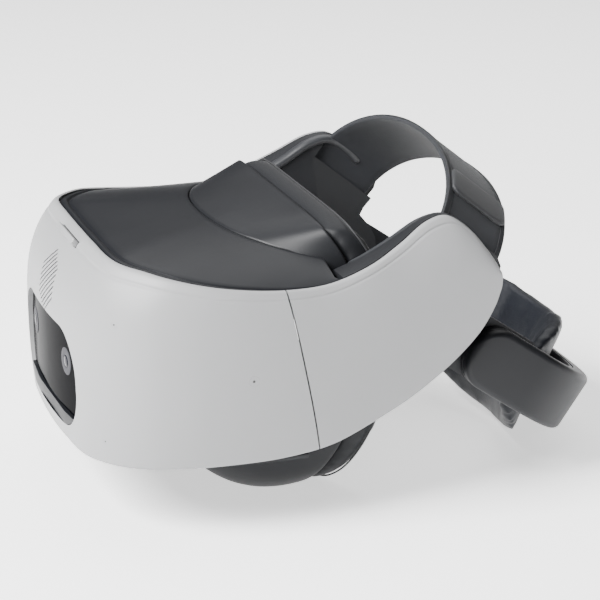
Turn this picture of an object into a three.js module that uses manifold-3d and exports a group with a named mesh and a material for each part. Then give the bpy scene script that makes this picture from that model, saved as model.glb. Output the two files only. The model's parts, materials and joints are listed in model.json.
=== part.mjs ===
// Head-worn visor with two side arms, a top strap and a sliding rear cradle.
// Units are millimetres, +X is the wearer's left, -Y is the viewing direction, +Z is up.
import * as THREE from 'three'
import { mergeVertices } from 'three/addons/utils/BufferGeometryUtils.js'
import Module from 'manifold-3d'

const wasm = await Module()
wasm.setup()

// ---------------------------------------------------------------- driving dimensions
const EYE = 76 // height of the tracking cameras over the table
const GAP = 0.4 // clearance between neighbouring pieces
const WALL = 2.6 // outer shell wall
const COVER = 2.0 // deck and cover thickness

const SEAM_DEPTH = 78 // front of the hood joint on the centre line
const DECK_CROWN = 56.4 // height of the deck over EYE at that joint, and its fall to the sides
const DECK_FALL = 11.6
const DECK_REAR = 116 // rear edge of the deck beside the hood

const FACE_BOW = 0.0015 // curvature of the front face, per mm
const WINDOW = { half: 49, top: 16, foot: -33, corner: 22, glassFoot: -26, face: 1.6, thick: 1.8 }
const CAMERA = { x: 31, z: -1, radius: 6.2, depth: 11 }

const LINING_IN = 74 // inner face of the arm lining
const LINING_WALL = 2.2
const BAND_IN = 76.5 // inner face of the side bands
const BAND_THICK = 2.8

const STRAP = { lean: 38.9, width: 38, front: 92.1, slot: 146.3, rise: 41, thick: 2.4, tail: 8, power: 2.1 }

const CRADLE_TILT = 35 // slope of the rear cradle below level, degrees
const POD = { front: 150, straight: 187, halfWidth: 88, reach: 60, low: 92.5, high: 123.5, wall: 2.2 }
const POD_INNER = { halfWidth: 79.7, reach: 46 }

const EYE_HALF = 31.5 // half the distance between the lens axes
const LENS_Z = -4
const GEAR = { teeth: 11, tip: 6.1, root: 4.6, pitch: 5.5 }
const IPD_GEAR = { teeth: 12, tip: 4.5, root: 3.2, pitch: 4.0, y: 44 }

// ---------------------------------------------------------------- finishes
const FINISH = {
  shell: [0xe6e7e8, 0.5, 0],
  charcoal: [0x3b3c40, 0.5, 0],
  hood: [0x55575b, 0.42, 0],
  glass: [0x0b0c0e, 0.06, 0],
  lens: [0x9fb2bd, 0.05, 0],
  foam: [0x26282d, 0.9, 0],
  webbing: [0x24272e, 0.85, 0],
  button: [0xb9bbbe, 0.4, 0],
  metal: [0x9a9da1, 0.35, 0.9],
  board: [0x1d4a34, 0.6, 0],
  cell: [0x31363f, 0.55, 0],
  screen: [0x08090c, 0.15, 0],
  rubber: [0x202124, 0.8, 0],
}

const model = new THREE.Group()

function add(name, geometry, finish, parent = model) {
  const [color, roughness, metalness] = FINISH[finish]
  const mesh = new THREE.Mesh(geometry, new THREE.MeshStandardMaterial({ color, roughness, metalness }))
  mesh.name = name
  parent.add(mesh)
  return mesh
}

// ---------------------------------------------------------------- solid helpers
function toSolid(geometry) {
  const bare = geometry.clone()
  for (const name of Object.keys(bare.attributes)) {
    if (name !== 'position') bare.deleteAttribute(name)
  }
  const merged = mergeVertices(bare, 1e-4)
  const vertProperties = new Float32Array(merged.attributes.position.array)
  const triVerts = new Uint32Array(merged.index.array)
  return new wasm.Manifold(new wasm.Mesh({ numProp: 3, vertProperties, triVerts }))
}

function toGeometry(solid) {
  const mesh = solid.getMesh()
  const geometry = new THREE.BufferGeometry()
  geometry.setAttribute('position', new THREE.BufferAttribute(new Float32Array(mesh.vertProperties), 3))
  geometry.setIndex(new THREE.BufferAttribute(new Uint32Array(mesh.triVerts), 1))
  geometry.computeVertexNormals()
  return geometry
}

function cut(base, ...tools) {
  const solid = tools.reduce((kept, tool) => kept.subtract(toSolid(tool)), toSolid(base))
  return toGeometry(solid)
}

function join(base, ...others) {
  const solid = others.reduce((kept, other) => kept.add(toSolid(other)), toSolid(base))
  return toGeometry(solid)
}

function common(base, other) {
  return toGeometry(toSolid(base).intersect(toSolid(other)))
}

// Triangles that close one ring, found in the ring's own plane.
function capOf(ring) {
  const normal = new THREE.Vector3()
  ring.forEach((point, i) => normal.add(point.clone().cross(ring[(i + 1) % ring.length])))
  normal.normalize()
  const side = Math.abs(normal.z) < 0.9 ? new THREE.Vector3(0, 0, 1) : new THREE.Vector3(1, 0, 0)
  const across = side.cross(normal).normalize()
  const along = normal.clone().cross(across)
  const flat = ring.map((point) => new THREE.Vector2(point.dot(across), point.dot(along)))
  return THREE.ShapeUtils.triangulateShape(flat, [])
}

// Skin over a row of rings with equal point counts. An endless row joins last to first.
function loft(rings, endless = false) {
  const size = rings[0].length
  const index = []
  const spans = endless ? rings.length : rings.length - 1
  for (let row = 0; row < spans; row++) {
    const here = row * size
    const next = ((row + 1) % rings.length) * size
    for (let i = 0; i < size; i++) {
      const j = (i + 1) % size
      index.push(here + i, here + j, next + j, here + i, next + j, next + i)
    }
  }
  if (!endless) {
    const last = (rings.length - 1) * size
    for (const [a, b, c] of capOf(rings[0])) index.push(c, b, a)
    for (const [a, b, c] of capOf(rings[rings.length - 1])) index.push(last + a, last + b, last + c)
  }
  return closed(rings.flat(), index)
}

// Geometry from points and triangles, turned so that its faces point out.
function closed(points, index) {
  let volume = 0
  for (let i = 0; i < index.length; i += 3) {
    const [a, b, c] = [points[index[i]], points[index[i + 1]], points[index[i + 2]]]
    volume += a.dot(b.clone().cross(c))
  }
  const turned = volume < 0 ? flip(index) : index
  const geometry = new THREE.BufferGeometry().setFromPoints(points)
  geometry.setIndex(turned)
  geometry.computeVertexNormals()
  return geometry
}

function flip(index) {
  const turned = []
  for (let i = 0; i < index.length; i += 3) turned.push(index[i], index[i + 2], index[i + 1])
  return turned
}

function mirrored(geometry) {
  const copy = geometry.index ? geometry.clone() : mergeVertices(geometry.clone())
  copy.applyMatrix4(new THREE.Matrix4().makeScale(-1, 1, 1))
  copy.setIndex(flip(Array.from(copy.index.array)))
  copy.computeVertexNormals()
  return copy
}

// ---------------------------------------------------------------- outlines and blocks
function box(x0, x1, y0, y1, z0, z1) {
  const geometry = new THREE.BoxGeometry(x1 - x0, y1 - y0, z1 - z0)
  return geometry.translate((x0 + x1) / 2, (y0 + y1) / 2, (z0 + z1) / 2)
}

function rounded(x0, x1, y0, y1, r) {
  const shape = new THREE.Shape()
  shape.absarc(x1 - r, y0 + r, r, -Math.PI / 2, 0)
  shape.absarc(x1 - r, y1 - r, r, 0, Math.PI / 2)
  shape.absarc(x0 + r, y1 - r, r, Math.PI / 2, Math.PI)
  shape.absarc(x0 + r, y0 + r, r, Math.PI, Math.PI * 1.5)
  return shape
}

function smooth(points) {
  const shape = new THREE.Shape()
  shape.moveTo(...points[0])
  shape.splineThru(points.slice(1).map((point) => new THREE.Vector2(...point)))
  return shape
}

// A plan outline (X, Y) raised between two heights.
function upright(shape, z0, z1, curveSegments = 6) {
  const depth = z1 - z0
  return new THREE.ExtrudeGeometry(shape, { depth, bevelEnabled: false, curveSegments }).translate(0, 0, z0)
}

// A front outline (X, Z) carried from one depth to another.
function forward(shape, y0, y1, curveSegments = 6) {
  const depth = y1 - y0
  const geometry = new THREE.ExtrudeGeometry(shape, { depth, bevelEnabled: false, curveSegments })
  return geometry.rotateX(Math.PI / 2).translate(0, y1, 0)
}

// A side outline (Y, Z) carried from one width to another.
function sideways(shape, x0, x1, curveSegments = 6) {
  const depth = x1 - x0
  const geometry = new THREE.ExtrudeGeometry(shape, { depth, bevelEnabled: false, curveSegments })
  const turn = new THREE.Matrix4().makeBasis(
    new THREE.Vector3(0, 1, 0), new THREE.Vector3(0, 0, 1), new THREE.Vector3(1, 0, 0))
  return geometry.applyMatrix4(turn).translate(x0, 0, 0)
}

// A closed ring of revolution about Y, from (radius, depth) corners.
function turned(corners, x, z, segments = 32) {
  const profile = [...corners, corners[0]].map(([r, y]) => new THREE.Vector2(r, y))
  return new THREE.LatheGeometry(profile, segments).translate(x, 0, z)
}

// A disc or rod about Y.
function rod(x, z, y0, y1, r, segments = 24) {
  return new THREE.CylinderGeometry(r, r, y1 - y0, segments).translate(x, (y0 + y1) / 2, z)
}

// A disc or rod about Z.
function post(x, y, z0, z1, r, segments = 24) {
  return new THREE.CylinderGeometry(r, r, z1 - z0, segments).rotateX(Math.PI / 2).translate(x, y, (z0 + z1) / 2)
}

const mix = THREE.MathUtils.lerp

// ---------------------------------------------------------------- outer shell surface
// Rails run from the middle of the front face to the tip of the left arm: [x, y, height over EYE].
const RIM = [
  [0, 17.3, 53.4], [26, 17.5, 53.4], [50, 18.5, 53.2], [60, 22, 52.4], [70, 29.5, 51.5], [79, 38.5, 49.9],
  [86.1, 52, 47.3], [90.5, 68, 44.9], [92.8, 90, 43], [92.9, 112, 43.9], [92.5, 132, 50.6], [89.3, 147, 58.2],
  [85.2, 161, 66], [83.2, 171.5, 67.4], [84, 181.5, 61.2], [88, 190, 50.5], [92, 195, 41.5],
]
const BELLY = [
  [0, -0.6, 2], [28, 0.6, 2], [52, 3.5, 2], [66, 8.5, 2], [77, 16.5, 2], [85.5, 27.5, 2],
  [91.5, 42.5, 2], [95.2, 61, 1], [97.3, 84, 1], [97.6, 109, 3], [97, 132, 12], [96.2, 149, 21],
  [95.4, 163.5, 30], [94.8, 176, 35], [94.3, 186, 37.5], [94, 192, 38], [93.8, 195.4, 37.8],
]
const FOOT = [
  [0, 1.6, -40.5], [27, 2.6, -40.5], [51, 5.5, -40.5], [64, 11.5, -40.4], [74, 19.5, -40], [82, 30.5, -39.5],
  [88, 46, -38.8], [91.5, 64, -38.2], [93.4, 88, -37.2], [93.7, 112, -33.6], [93.4, 133, -25], [93.6, 151, -15.5],
  [94, 165, -5.6], [94.2, 176, 3.8], [94.2, 185.5, 14], [94.1, 192, 25], [93.9, 195, 33.5],
]
const RIM_POWER = 3
const FOOT_POWER = 2.4

function rail(half) {
  const points = half.map(([x, y, z]) => new THREE.Vector3(x, y, z + EYE))
  const others = points.slice(1).reverse().map((point) => new THREE.Vector3(-point.x, point.y, point.z))
  return new THREE.CatmullRomCurve3([...others, ...points], false, 'centripetal')
}

const rails = { rim: rail(RIM), belly: rail(BELLY), foot: rail(FOOT) }
const along = (curve, s) => curve.getPoint(THREE.MathUtils.clamp((s + 1) / 2, 0, 1))

function outward(s) {
  const step = 0.004
  const tangent = along(rails.belly, Math.min(s + step, 1)).sub(along(rails.belly, Math.max(s - step, -1)))
  return new THREE.Vector3(tangent.y, -tangent.x, 0).normalize()
}

// s runs from one arm tip (-1) to the other (1), q from the foot edge (-1) to the rim (1).
function skin(s, q, inset = 0) {
  const from = along(rails.belly, s)
  const to = along(q > 0 ? rails.rim : rails.foot, s)
  const share = Math.abs(q) ** (q > 0 ? RIM_POWER : FOOT_POWER)
  const point = new THREE.Vector3(mix(from.x, to.x, share), mix(from.y, to.y, share), mix(from.z, to.z, Math.abs(q)))
  return point.addScaledVector(outward(s), -inset)
}

// The joint between the front shell and each arm is a straight line, leaning back towards the foot edge.
const JOINT = { y: 90, z: 43, lean: 0.2 }

function jointAt(q) {
  let low = 0.4
  let high = 0.65
  for (let i = 0; i < 20; i++) {
    const s = (low + high) / 2
    const point = skin(s, q)
    const line = JOINT.y + JOINT.lean * (JOINT.z + EYE - point.z)
    if (point.y < line) low = s
    else high = s
  }
  return (low + high) / 2
}

const SHELL_ROWS = [-1, -0.93, -0.8, -0.55, -0.25, 0, 0.25, 0.45, 0.62, 0.77, 0.9, 1]

function wallRing(place, inset, wall) {
  const outer = SHELL_ROWS.map((q) => skin(place(q), q, inset))
  const inner = SHELL_ROWS.map((q) => skin(place(q), q, inset + wall)).reverse()
  return [...outer, ...inner]
}

function spread(from, to, count) {
  return Array.from({ length: count + 1 }, (_, i) => mix(from, to, i / count))
}

function frontShellBlank() {
  return loft(spread(-1, 1, 44).map((u) => wallRing((q) => u * jointAt(q), 0, WALL)))
}

function armShellBlank() {
  const start = 0.004
  const rings = spread(start, 1, 22).map((u) => wallRing((q) => mix(jointAt(q), 1, u), 0, WALL))
  return loft(rings)
}

// ---------------------------------------------------------------- front window opening
function bowed(geometry) {
  const position = geometry.attributes.position
  for (let i = 0; i < position.count; i++) {
    position.setY(i, position.getY(i) + FACE_BOW * position.getX(i) ** 2)
  }
  return geometry
}

function windowShape(inset) {
  const { half, top, foot, corner } = WINDOW
  const whole = rounded(-half + inset, half - inset, foot + inset, top - inset, corner - inset)
  const points = []
  const outline = whole.getPoints(6)
  outline.forEach((point, i) => {
    const next = outline[(i + 1) % outline.length]
    const steps = Math.max(1, Math.round(point.distanceTo(next) / 9))
    for (let k = 0; k < steps; k++) points.push(point.clone().lerp(next, k / steps))
  })
  return new THREE.Shape(points.map((point) => new THREE.Vector2(point.x, point.y + EYE)))
}

function windowSlab(inset, y0, y1) {
  return bowed(forward(windowShape(inset), y0, y1))
}

const glassSplit = (from, to) => box(-80, 80, -20, 30, EYE + from, EYE + to)

// ---------------------------------------------------------------- vent and power key
const VENT = { z: 29, half: 13, slots: 11, pitch: 2.4, slot: 0.9, slant: 40 }
const KEY = { y: 13.2, z: 50.4, length: 30, width: 2.6, depth: 4.2, tilt: 42, travel: 0.6 }

function ventCutters() {
  const middle = (VENT.slots - 1) / 2
  return Array.from({ length: VENT.slots }, (_, i) => {
    const offset = (i - middle) * VENT.pitch
    const length = 2 * VENT.half - Math.abs(offset) * 0.9
    const bar = new THREE.BoxGeometry(length, 20, VENT.slot)
    bar.translate(0, 0, offset)
    return bar.rotateY(-THREE.MathUtils.degToRad(VENT.slant)).translate(0, 0, EYE + VENT.z)
  })
}

function keyBlock(grow, depth) {
  const { length, width } = KEY
  const block = new THREE.BoxGeometry(length + 2 * grow, depth, width + 2 * grow)
  return block.rotateX(THREE.MathUtils.degToRad(-KEY.tilt)).translate(0, KEY.y, EYE + KEY.z)
}

function frontShell() {
  return cut(frontShellBlank(), windowSlab(0, -12, 16), keyBlock(GAP, 16), ...ventCutters())
}

add('front_shell', frontShell(), 'shell')
const leftArmShell = armShellBlank()
add('left_arm_shell', leftArmShell, 'shell')
add('right_arm_shell', mirrored(leftArmShell), 'shell')

// ---------------------------------------------------------------- window, ledge, cameras, key
const glassRear = WINDOW.face + WINDOW.thick

function frontWindow() {
  const slab = windowSlab(GAP, WINDOW.face, glassRear)
  return common(slab, glassSplit(WINDOW.glassFoot + GAP / 2, WINDOW.top + 5))
}

function windowLedge() {
  const slab = windowSlab(GAP, WINDOW.face - 1.4, glassRear + 2)
  return common(slab, glassSplit(WINDOW.foot - 5, WINDOW.glassFoot - GAP / 2))
}

add('front_window', frontWindow(), 'glass')
add('window_ledge', windowLedge(), 'charcoal')

for (const [side, sign] of [['left', 1], ['right', -1]]) {
  const x = sign * CAMERA.x
  const z = EYE + CAMERA.z
  const front = glassRear + FACE_BOW * CAMERA.x ** 2 + 1.2
  const rear = front + CAMERA.depth
  const { radius } = CAMERA
  const housing = turned(
    [[2.2, front], [radius, front], [radius, rear], [0.001, rear], [0.001, rear - 3], [2.2, rear - 3]], x, z, 28)
  add(`${side}_camera_housing`, toGeometry(toSolid(housing)), 'charcoal')
  add(`${side}_camera_lens`, rod(x, z, front + 0.6, front + 2.6, 1.8), 'lens')
}

add('power_button', keyBlock(0, KEY.depth), 'button')

// ---------------------------------------------------------------- top deck
const seamY = (x) => SEAM_DEPTH + 0.0034 * x ** 2 + 8e-7 * x ** 4
const deckZ = (x) => DECK_CROWN - DECK_FALL * Math.abs(x / 86.5) ** 2.8
const DECK_END = 0.578

// How far the deck drops below its own line at a share of the way back: border, groove, field.
const DECK_STEPS = [[0, 0.9], [0.045, 0.7], [0.062, 1.5], [0.085, 1.5], [0.105, 0.9], [0.35, 0.4], [0.65, 0], [0.9, 0], [1, 0]]

function topDeck() {
  const rings = spread(-1, 1, 40).map((w) => {
    const edge = skin(w * DECK_END, 1, WALL + GAP)
    const x = w * 86.5
    const rear = new THREE.Vector3(x, Math.min(seamY(x), DECK_REAR) - GAP, EYE + deckZ(x))
    const top = DECK_STEPS.map(([share, drop]) => {
      const point = edge.clone().lerp(rear, share)
      point.z -= drop
      return point
    })
    const under = top.map((point) => new THREE.Vector3(point.x, point.y, point.z - COVER)).reverse()
    return [...top, ...under]
  })
  return loft(rings)
}

add('top_deck', topDeck(), 'charcoal')

// ---------------------------------------------------------------- hood and face cushion
// Each loop runs from the brow down the left side to the nose notch: [x, y, height over EYE].
const HOOD_FRONT = [
  [0, 78, 56.2], [20, 79.5, 56.1], [38, 84.6, 55.2], [53, 93.9, 53.2], [66.5, 108.8, 47.5], [71, 109, 24],
  [71.6, 100, 2], [69.5, 88, -20], [61, 72, -38.5], [50, 60, -43.5], [37, 52, -44], [22, 51, -42.5],
  [11, 53, -41.5], [0, 54, -41],
]
const HOOD_MIDDLE = [
  [0, 98, 60.3], [23, 98.8, 60.1], [44, 101.4, 59.3], [59, 107.2, 57.2], [69.4, 117.6, 47.6], [72.2, 120.5, 24],
  [72.7, 119, 1], [70.8, 111, -24], [63, 99, -48], [51, 88, -64], [37, 80, -70], [22, 78, -63],
  [11.5, 79, -52], [0, 80, -45],
]
const HOOD_RIDGE = [
  [0, 118, 63.4], [26, 118, 63.4], [49, 117.8, 63.3], [64.5, 119, 60.6], [71.2, 126.5, 47], [72.6, 132.5, 24],
  [72.7, 135.5, 0], [70.8, 132.5, -26], [63, 126, -50], [51.5, 118.5, -67], [37, 113, -74.2], [22.5, 109.5, -69],
  [12, 106, -56], [0, 104, -47.5],
]
const LOOP_STEPS = 52

function loopOf(half) {
  const points = half.map(([x, y, z]) => new THREE.Vector3(x, y, z + EYE))
  const others = points.slice(1, -1).reverse().map((point) => new THREE.Vector3(-point.x, point.y, point.z))
  const curve = new THREE.CatmullRomCurve3([...points, ...others], true, 'centripetal')
  return Array.from({ length: LOOP_STEPS }, (_, i) => curve.getPoint(i / LOOP_STEPS))
}

// Moves a loop inside itself in the front view, keeping each point's depth.
function shrink(loop, inset, back = 0) {
  const size = loop.length
  return loop.map((point, i) => {
    const before = loop[(i + size - 1) % size]
    const after = loop[(i + 1) % size]
    const normal = new THREE.Vector3(before.z - after.z, 0, after.x - before.x).normalize()
    return new THREE.Vector3(point.x, point.y + back, point.z).addScaledVector(normal, -inset)
  })
}

const hoodLoops = [HOOD_FRONT, HOOD_MIDDLE, HOOD_RIDGE].map(loopOf)
const HOOD_WALL = 2.4

function faceHood() {
  const inside = hoodLoops.map((loop) => shrink(loop, HOOD_WALL)).reverse()
  return loft([...hoodLoops, ...inside], true)
}

// The room the hood takes up, with a margin around it and ahead of it. Its front is a shallow cone.
function hoodEnvelope(grow) {
  const ahead = shrink(hoodLoops[0], -grow, -4)
  const centre = new THREE.Vector3(0, SEAM_DEPTH - grow, EYE)
  const apex = ahead.map((point) => point.clone().lerp(centre, 0.98))
  return loft([apex, ahead, ...hoodLoops.map((loop) => shrink(loop, -grow))])
}

const CUSHION = { depth: 19, width: 11, gap: 0.8 }

function faceCushion() {
  const ridge = hoodLoops[2]
  const { depth, width, gap } = CUSHION
  const rows = [[0.6, gap], [0.2, 0.4 * depth], [2.2, 0.85 * depth], [4.6, depth], [width - 2, depth - 1],
    [width, 0.7 * depth], [width, gap]]
  return loft(rows.map(([inset, back]) => shrink(ridge, inset, back)), true)
}

add('face_hood', faceHood(), 'hood')
add('face_cushion', faceCushion(), 'foam')

function noseFlap() {
  const arch = [[-17, -70], [-11.5, -60], [-6, -53.5], [0, -51.3], [6, -53.5], [11.5, -60], [17, -70]]
  const thick = 1.3
  const lower = arch.map(([x, z]) => [x * (1 - thick / 18), z - thick]).reverse()
  const outline = new THREE.Shape([...arch, ...lower].map(([x, z]) => new THREE.Vector2(x, z + EYE)))
  return forward(outline, 96, 112)
}

add('nose_flap', noseFlap(), 'rubber')

// ---------------------------------------------------------------- underside cover with its controls
const UNDER = { top: -37.6, bottom: -39.6 }
const VOLUME = { y: 26, length: 13, width: 5, rise: 1.2, x: [-9, 9] }
const PORTS = { usb: 62, jack: -62, y: 48 }

function coverOutline() {
  const reach = spread(-0.535, 0.535, 36).map((s) => skin(s, -1, WALL + GAP))
  return new THREE.Shape(reach.map((point) => new THREE.Vector2(point.x, point.y)))
}

function bottomCover() {
  const plate = upright(coverOutline(), EYE + UNDER.bottom, EYE + UNDER.top)
  const keys = VOLUME.x.map((x) => {
    const half = VOLUME.length / 2 + GAP
    return box(x - half, x + half, VOLUME.y - VOLUME.width / 2 - GAP, VOLUME.y + VOLUME.width / 2 + GAP, 0, EYE)
  })
  const usbHole = box(PORTS.usb - 5, PORTS.usb + 5, PORTS.y - 2.2, PORTS.y + 2.2, 0, EYE)
  const jackHole = post(PORTS.jack, PORTS.y, 0, EYE, 3.4)
  const knobHole = post(0, IPD_GEAR.y, 0, EYE, 3.2)
  return cut(plate, hoodEnvelope(1), ...keys, usbHole, jackHole, knobHole)
}

add('bottom_cover', bottomCover(), 'charcoal')

VOLUME.x.forEach((x, i) => {
  const half = VOLUME.length / 2
  const outline = rounded(x - half, x + half, VOLUME.y - VOLUME.width / 2, VOLUME.y + VOLUME.width / 2, 2)
  const name = i === 0 ? 'volume_down_button' : 'volume_up_button'
  add(name, upright(outline, EYE + UNDER.bottom - VOLUME.rise, EYE + UNDER.top + 0.6), 'button')
})

function usbPort() {
  const x = PORTS.usb
  const outer = upright(rounded(x - 4.5, x + 4.5, PORTS.y - 1.7, PORTS.y + 1.7, 1.6), EYE + UNDER.bottom, EYE - 31)
  const inner = upright(rounded(x - 4.1, x + 4.1, PORTS.y - 1.3, PORTS.y + 1.3, 1.2), EYE - 50, EYE - 32)
  return cut(outer, inner)
}

function audioJack() {
  const x = PORTS.jack
  return cut(post(x, PORTS.y, EYE + UNDER.bottom, EYE - 27, 3), post(x, PORTS.y, EYE - 50, EYE - 28, 1.8))
}

add('usb_port', usbPort(), 'metal')
add('audio_jack', audioJack(), 'rubber')

// ---------------------------------------------------------------- inside the visor
const CHASSIS = { y0: 55.5, y1: 58, half: 66, low: -29, high: 44 }

function chassis() {
  const { y0, y1, half, low, high } = CHASSIS
  const plate = forward(rounded(-half, half, EYE + low, EYE + high, 12), y0, y1)
  const cableSlots = [-1, 1].map((side) => box(side * 60 - 3, side * 60 + 3, 50, 60, EYE - 12, EYE + 12))
  return cut(plate, ...cableSlots)
}

add('inner_frame', chassis(), 'metal')

function mainboard() {
  const plate = forward(rounded(-58, 58, EYE - 27, EYE + 38, 5), 51.6, 53.2)
  const chips = [[-40, -26, -12, 6], [-14, 14, -8, 20], [26, 42, -14, 8], [24, 50, 18, 32]]
  return join(plate, ...chips.map(([x0, x1, z0, z1]) => box(x0, x1, 50.2, 51.8, EYE + z0, EYE + z1)))
}

add('mainboard', mainboard(), 'board')

const FAN = { x: -34, z: 20, y0: 38, y1: 47.5, radius: 17, rotor: 15, hub: 5.5, blades: 9 }

function heatSpreader() {
  const plate = box(-18, 24, 46.6, 49.6, EYE - 12, EYE + 34)
  const fins = spread(-15, 21, 9).map((x) => box(x - 0.5, x + 0.5, 38, 47, EYE - 12, EYE + 34))
  return join(plate, ...fins)
}

function fanHousing() {
  const { x, z, y0, y1, radius } = FAN
  const block = forward(rounded(x - radius, x + radius - 2, EYE + z - radius, EYE + z + radius, 4), y0, y1)
  const well = rod(x - 1, EYE + z, y0 - 1, y1 - 1.6, FAN.rotor - 0.2, 32)
  const outlet = box(x + 4, x + radius + 2, y0 + 1.6, y1 - 1.6, EYE + z - 12, EYE + z - 1)
  return cut(block, well, outlet)
}

function fanRotor() {
  const { z, y0, y1, rotor, hub, blades } = FAN
  const x = FAN.x - 1
  const deep = y1 - 2.2
  const disc = rod(x, EYE + z, y0 + 0.8, deep, hub)
  const vanes = Array.from({ length: blades }, (_, i) => {
    const vane = box(hub - 1, rotor - 1.2, y0 + 1, deep - 0.2, -0.5, 0.5)
    return vane.rotateY((i * 2 * Math.PI) / blades).translate(x, 0, EYE + z)
  })
  return join(disc, ...vanes)
}

add('heat_sink', heatSpreader(), 'metal')
add('fan_housing', fanHousing(), 'charcoal')
add('fan_rotor', fanRotor(), 'charcoal')
add('battery', forward(rounded(-46, 46, EYE - 24, EYE - 12.8, 2), 20, 46), 'cell')

// Optics: each eye has a display, a barrel and a lens that slide sideways together.
const BARREL = { y0: 64.2, y1: 103, rear: 25.5, front: 23.4, wall: 1.6 }

function barrel(x) {
  const { y0, y1, rear, front, wall } = BARREL
  return turned([[front - wall, y0], [front, y0], [rear, y1], [rear - wall, y1]], x, EYE + LENS_Z, 40)
}

function lensDisc(x) {
  const r = BARREL.rear - BARREL.wall - GAP
  const profile = [[0, 97.4], [r - 3, 98.6], [r - 0.6, 99.6], [r - 0.6, 101.4], [r - 3, 102.2], [0, 104.4]]
  const points = profile.map(([radius, y]) => new THREE.Vector2(radius, y))
  return new THREE.LatheGeometry(points, 40).translate(x, 0, EYE + LENS_Z)
}

function gearShape({ teeth, tip, root }, turn = 0) {
  const step = (2 * Math.PI) / teeth
  const points = []
  for (let i = 0; i < teeth; i++) {
    const middle = turn + i * step
    for (const [radius, share] of [[root, -0.25], [tip, -0.11], [tip, 0.11], [root, 0.25]]) {
      const angle = middle + share * step
      points.push(new THREE.Vector2(radius * Math.cos(angle), radius * Math.sin(angle)))
    }
  }
  return new THREE.Shape(points)
}

// Trapezoid teeth on a bar from x0 to x1, one tooth centred at phase; teeth point along +Y.
function rackShape(x0, x1, pitch, phase, back, rootLine, tipLine) {
  const first = Math.ceil((x0 + 1.2 - phase) / pitch)
  const last = Math.floor((x1 - 1.2 - phase) / pitch)
  const points = [new THREE.Vector2(x0, back), new THREE.Vector2(x1, back), new THREE.Vector2(x1, rootLine)]
  for (let i = last; i >= first; i--) {
    const middle = phase + i * pitch
    points.push(new THREE.Vector2(middle + 0.95, rootLine), new THREE.Vector2(middle + 0.35, tipLine))
    points.push(new THREE.Vector2(middle - 0.35, tipLine), new THREE.Vector2(middle - 0.95, rootLine))
  }
  points.push(new THREE.Vector2(x0, rootLine))
  return new THREE.Shape(points)
}

const IPD_PITCH = (2 * Math.PI * IPD_GEAR.pitch) / IPD_GEAR.teeth
const IPD_LEVEL = { low: -36.2, high: -33 }

// The rack in front of the pinion carries the left eye, the one behind it the right eye.
function ipdRack() {
  const bar = rackShape(-16, 24, IPD_PITCH, IPD_PITCH / 2, -8, -4.9, -3.6)
  const toothed = upright(bar, EYE + IPD_LEVEL.low, EYE + IPD_LEVEL.high).translate(0, IPD_GEAR.y, 0)
  const link = box(18, 32, IPD_GEAR.y - 8, 74, EYE + IPD_LEVEL.low, EYE + IPD_LEVEL.high)
  const foot = box(26, 37, 66, 74, EYE + IPD_LEVEL.low, EYE + LENS_Z - BARREL.rear - GAP)
  return join(toothed, link, foot)
}

for (const [side, sign] of [['left', 1], ['right', -1]]) {
  const x = sign * EYE_HALF
  add(`${side}_display`, forward(rounded(x - 24, x + 24, EYE + LENS_Z - 24, EYE + LENS_Z + 24, 3), 60.6, 63.6), 'screen')
  add(`${side}_lens_barrel`, barrel(x), 'charcoal')
  add(`${side}_lens`, lensDisc(x), 'lens')
}

function ipdKnob() {
  const pinion = upright(gearShape(IPD_GEAR, Math.PI / 2), EYE + IPD_LEVEL.low, EYE + IPD_LEVEL.high)
  const stem = post(0, 0, EYE + UNDER.bottom - 1, EYE + IPD_LEVEL.low + 0.5, 2.6)
  const knob = knurled(8.5, EYE + UNDER.bottom - 4.4, EYE + UNDER.bottom - 0.6, 30, 0.5)
  return join(pinion, stem, knob).translate(0, IPD_GEAR.y, 0)
}

// A fluted disc about Z.
function knurled(radius, z0, z1, flutes, depth) {
  const count = flutes * 2
  const points = Array.from({ length: count }, (_, i) => {
    const angle = (i * 2 * Math.PI) / count
    const r = radius - (i % 2) * depth
    return new THREE.Vector2(r * Math.cos(angle), r * Math.sin(angle))
  })
  return upright(new THREE.Shape(points), z0, z1)
}

function rightRack() {
  const bar = rackShape(-14, 24, IPD_PITCH, IPD_PITCH / 2, -8, -4.9, -3.6)
  const toothed = upright(bar, EYE + IPD_LEVEL.low, EYE + IPD_LEVEL.high)
  toothed.rotateZ(Math.PI).translate(0, IPD_GEAR.y, 0)
  const link = box(-32, -18, IPD_GEAR.y + 4.9, 74, EYE + IPD_LEVEL.low, EYE + IPD_LEVEL.high)
  const foot = box(-37, -26, 66, 74, EYE + IPD_LEVEL.low, EYE + LENS_Z - BARREL.rear - GAP)
  return join(toothed, link, foot)
}

add('left_optics_rack', ipdRack(), 'charcoal')
add('right_optics_rack', rightRack(), 'charcoal')
add('ipd_knob', ipdKnob(), 'charcoal')

add('proximity_sensor', forward(rounded(-6, 6, EYE + 36, EYE + 41, 2), 92, 97), 'screen')

function chassisScrews() {
  const places = [[-61, 38], [61, 38], [-61, -23], [61, -23]]
  const single = ([x, z]) => join(rod(x, EYE + z, 52.4, 55.2, 2.8, 16), rod(x, EYE + z, 48, 52.8, 1.4, 12))
  return places.map(single)
}

chassisScrews().forEach((screw, i) => add(`frame_screw_${i + 1}`, screw, 'metal'))

// ---------------------------------------------------------------- tilted frames
// A tilted frame keeps X; its local Y runs down and back, its local Z up and back.
function tilted(degrees) {
  const frame = new THREE.Group()
  frame.position.z = EYE
  frame.rotation.x = -THREE.MathUtils.degToRad(degrees)
  frame.updateMatrix()
  model.add(frame)
  return frame
}

const strapFrame = tilted(STRAP.lean)
const cradleFrame = tilted(CRADLE_TILT)

// ---------------------------------------------------------------- arm lining and speakers
const LINING = { from: 0.582, to: 0.955 }

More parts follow.
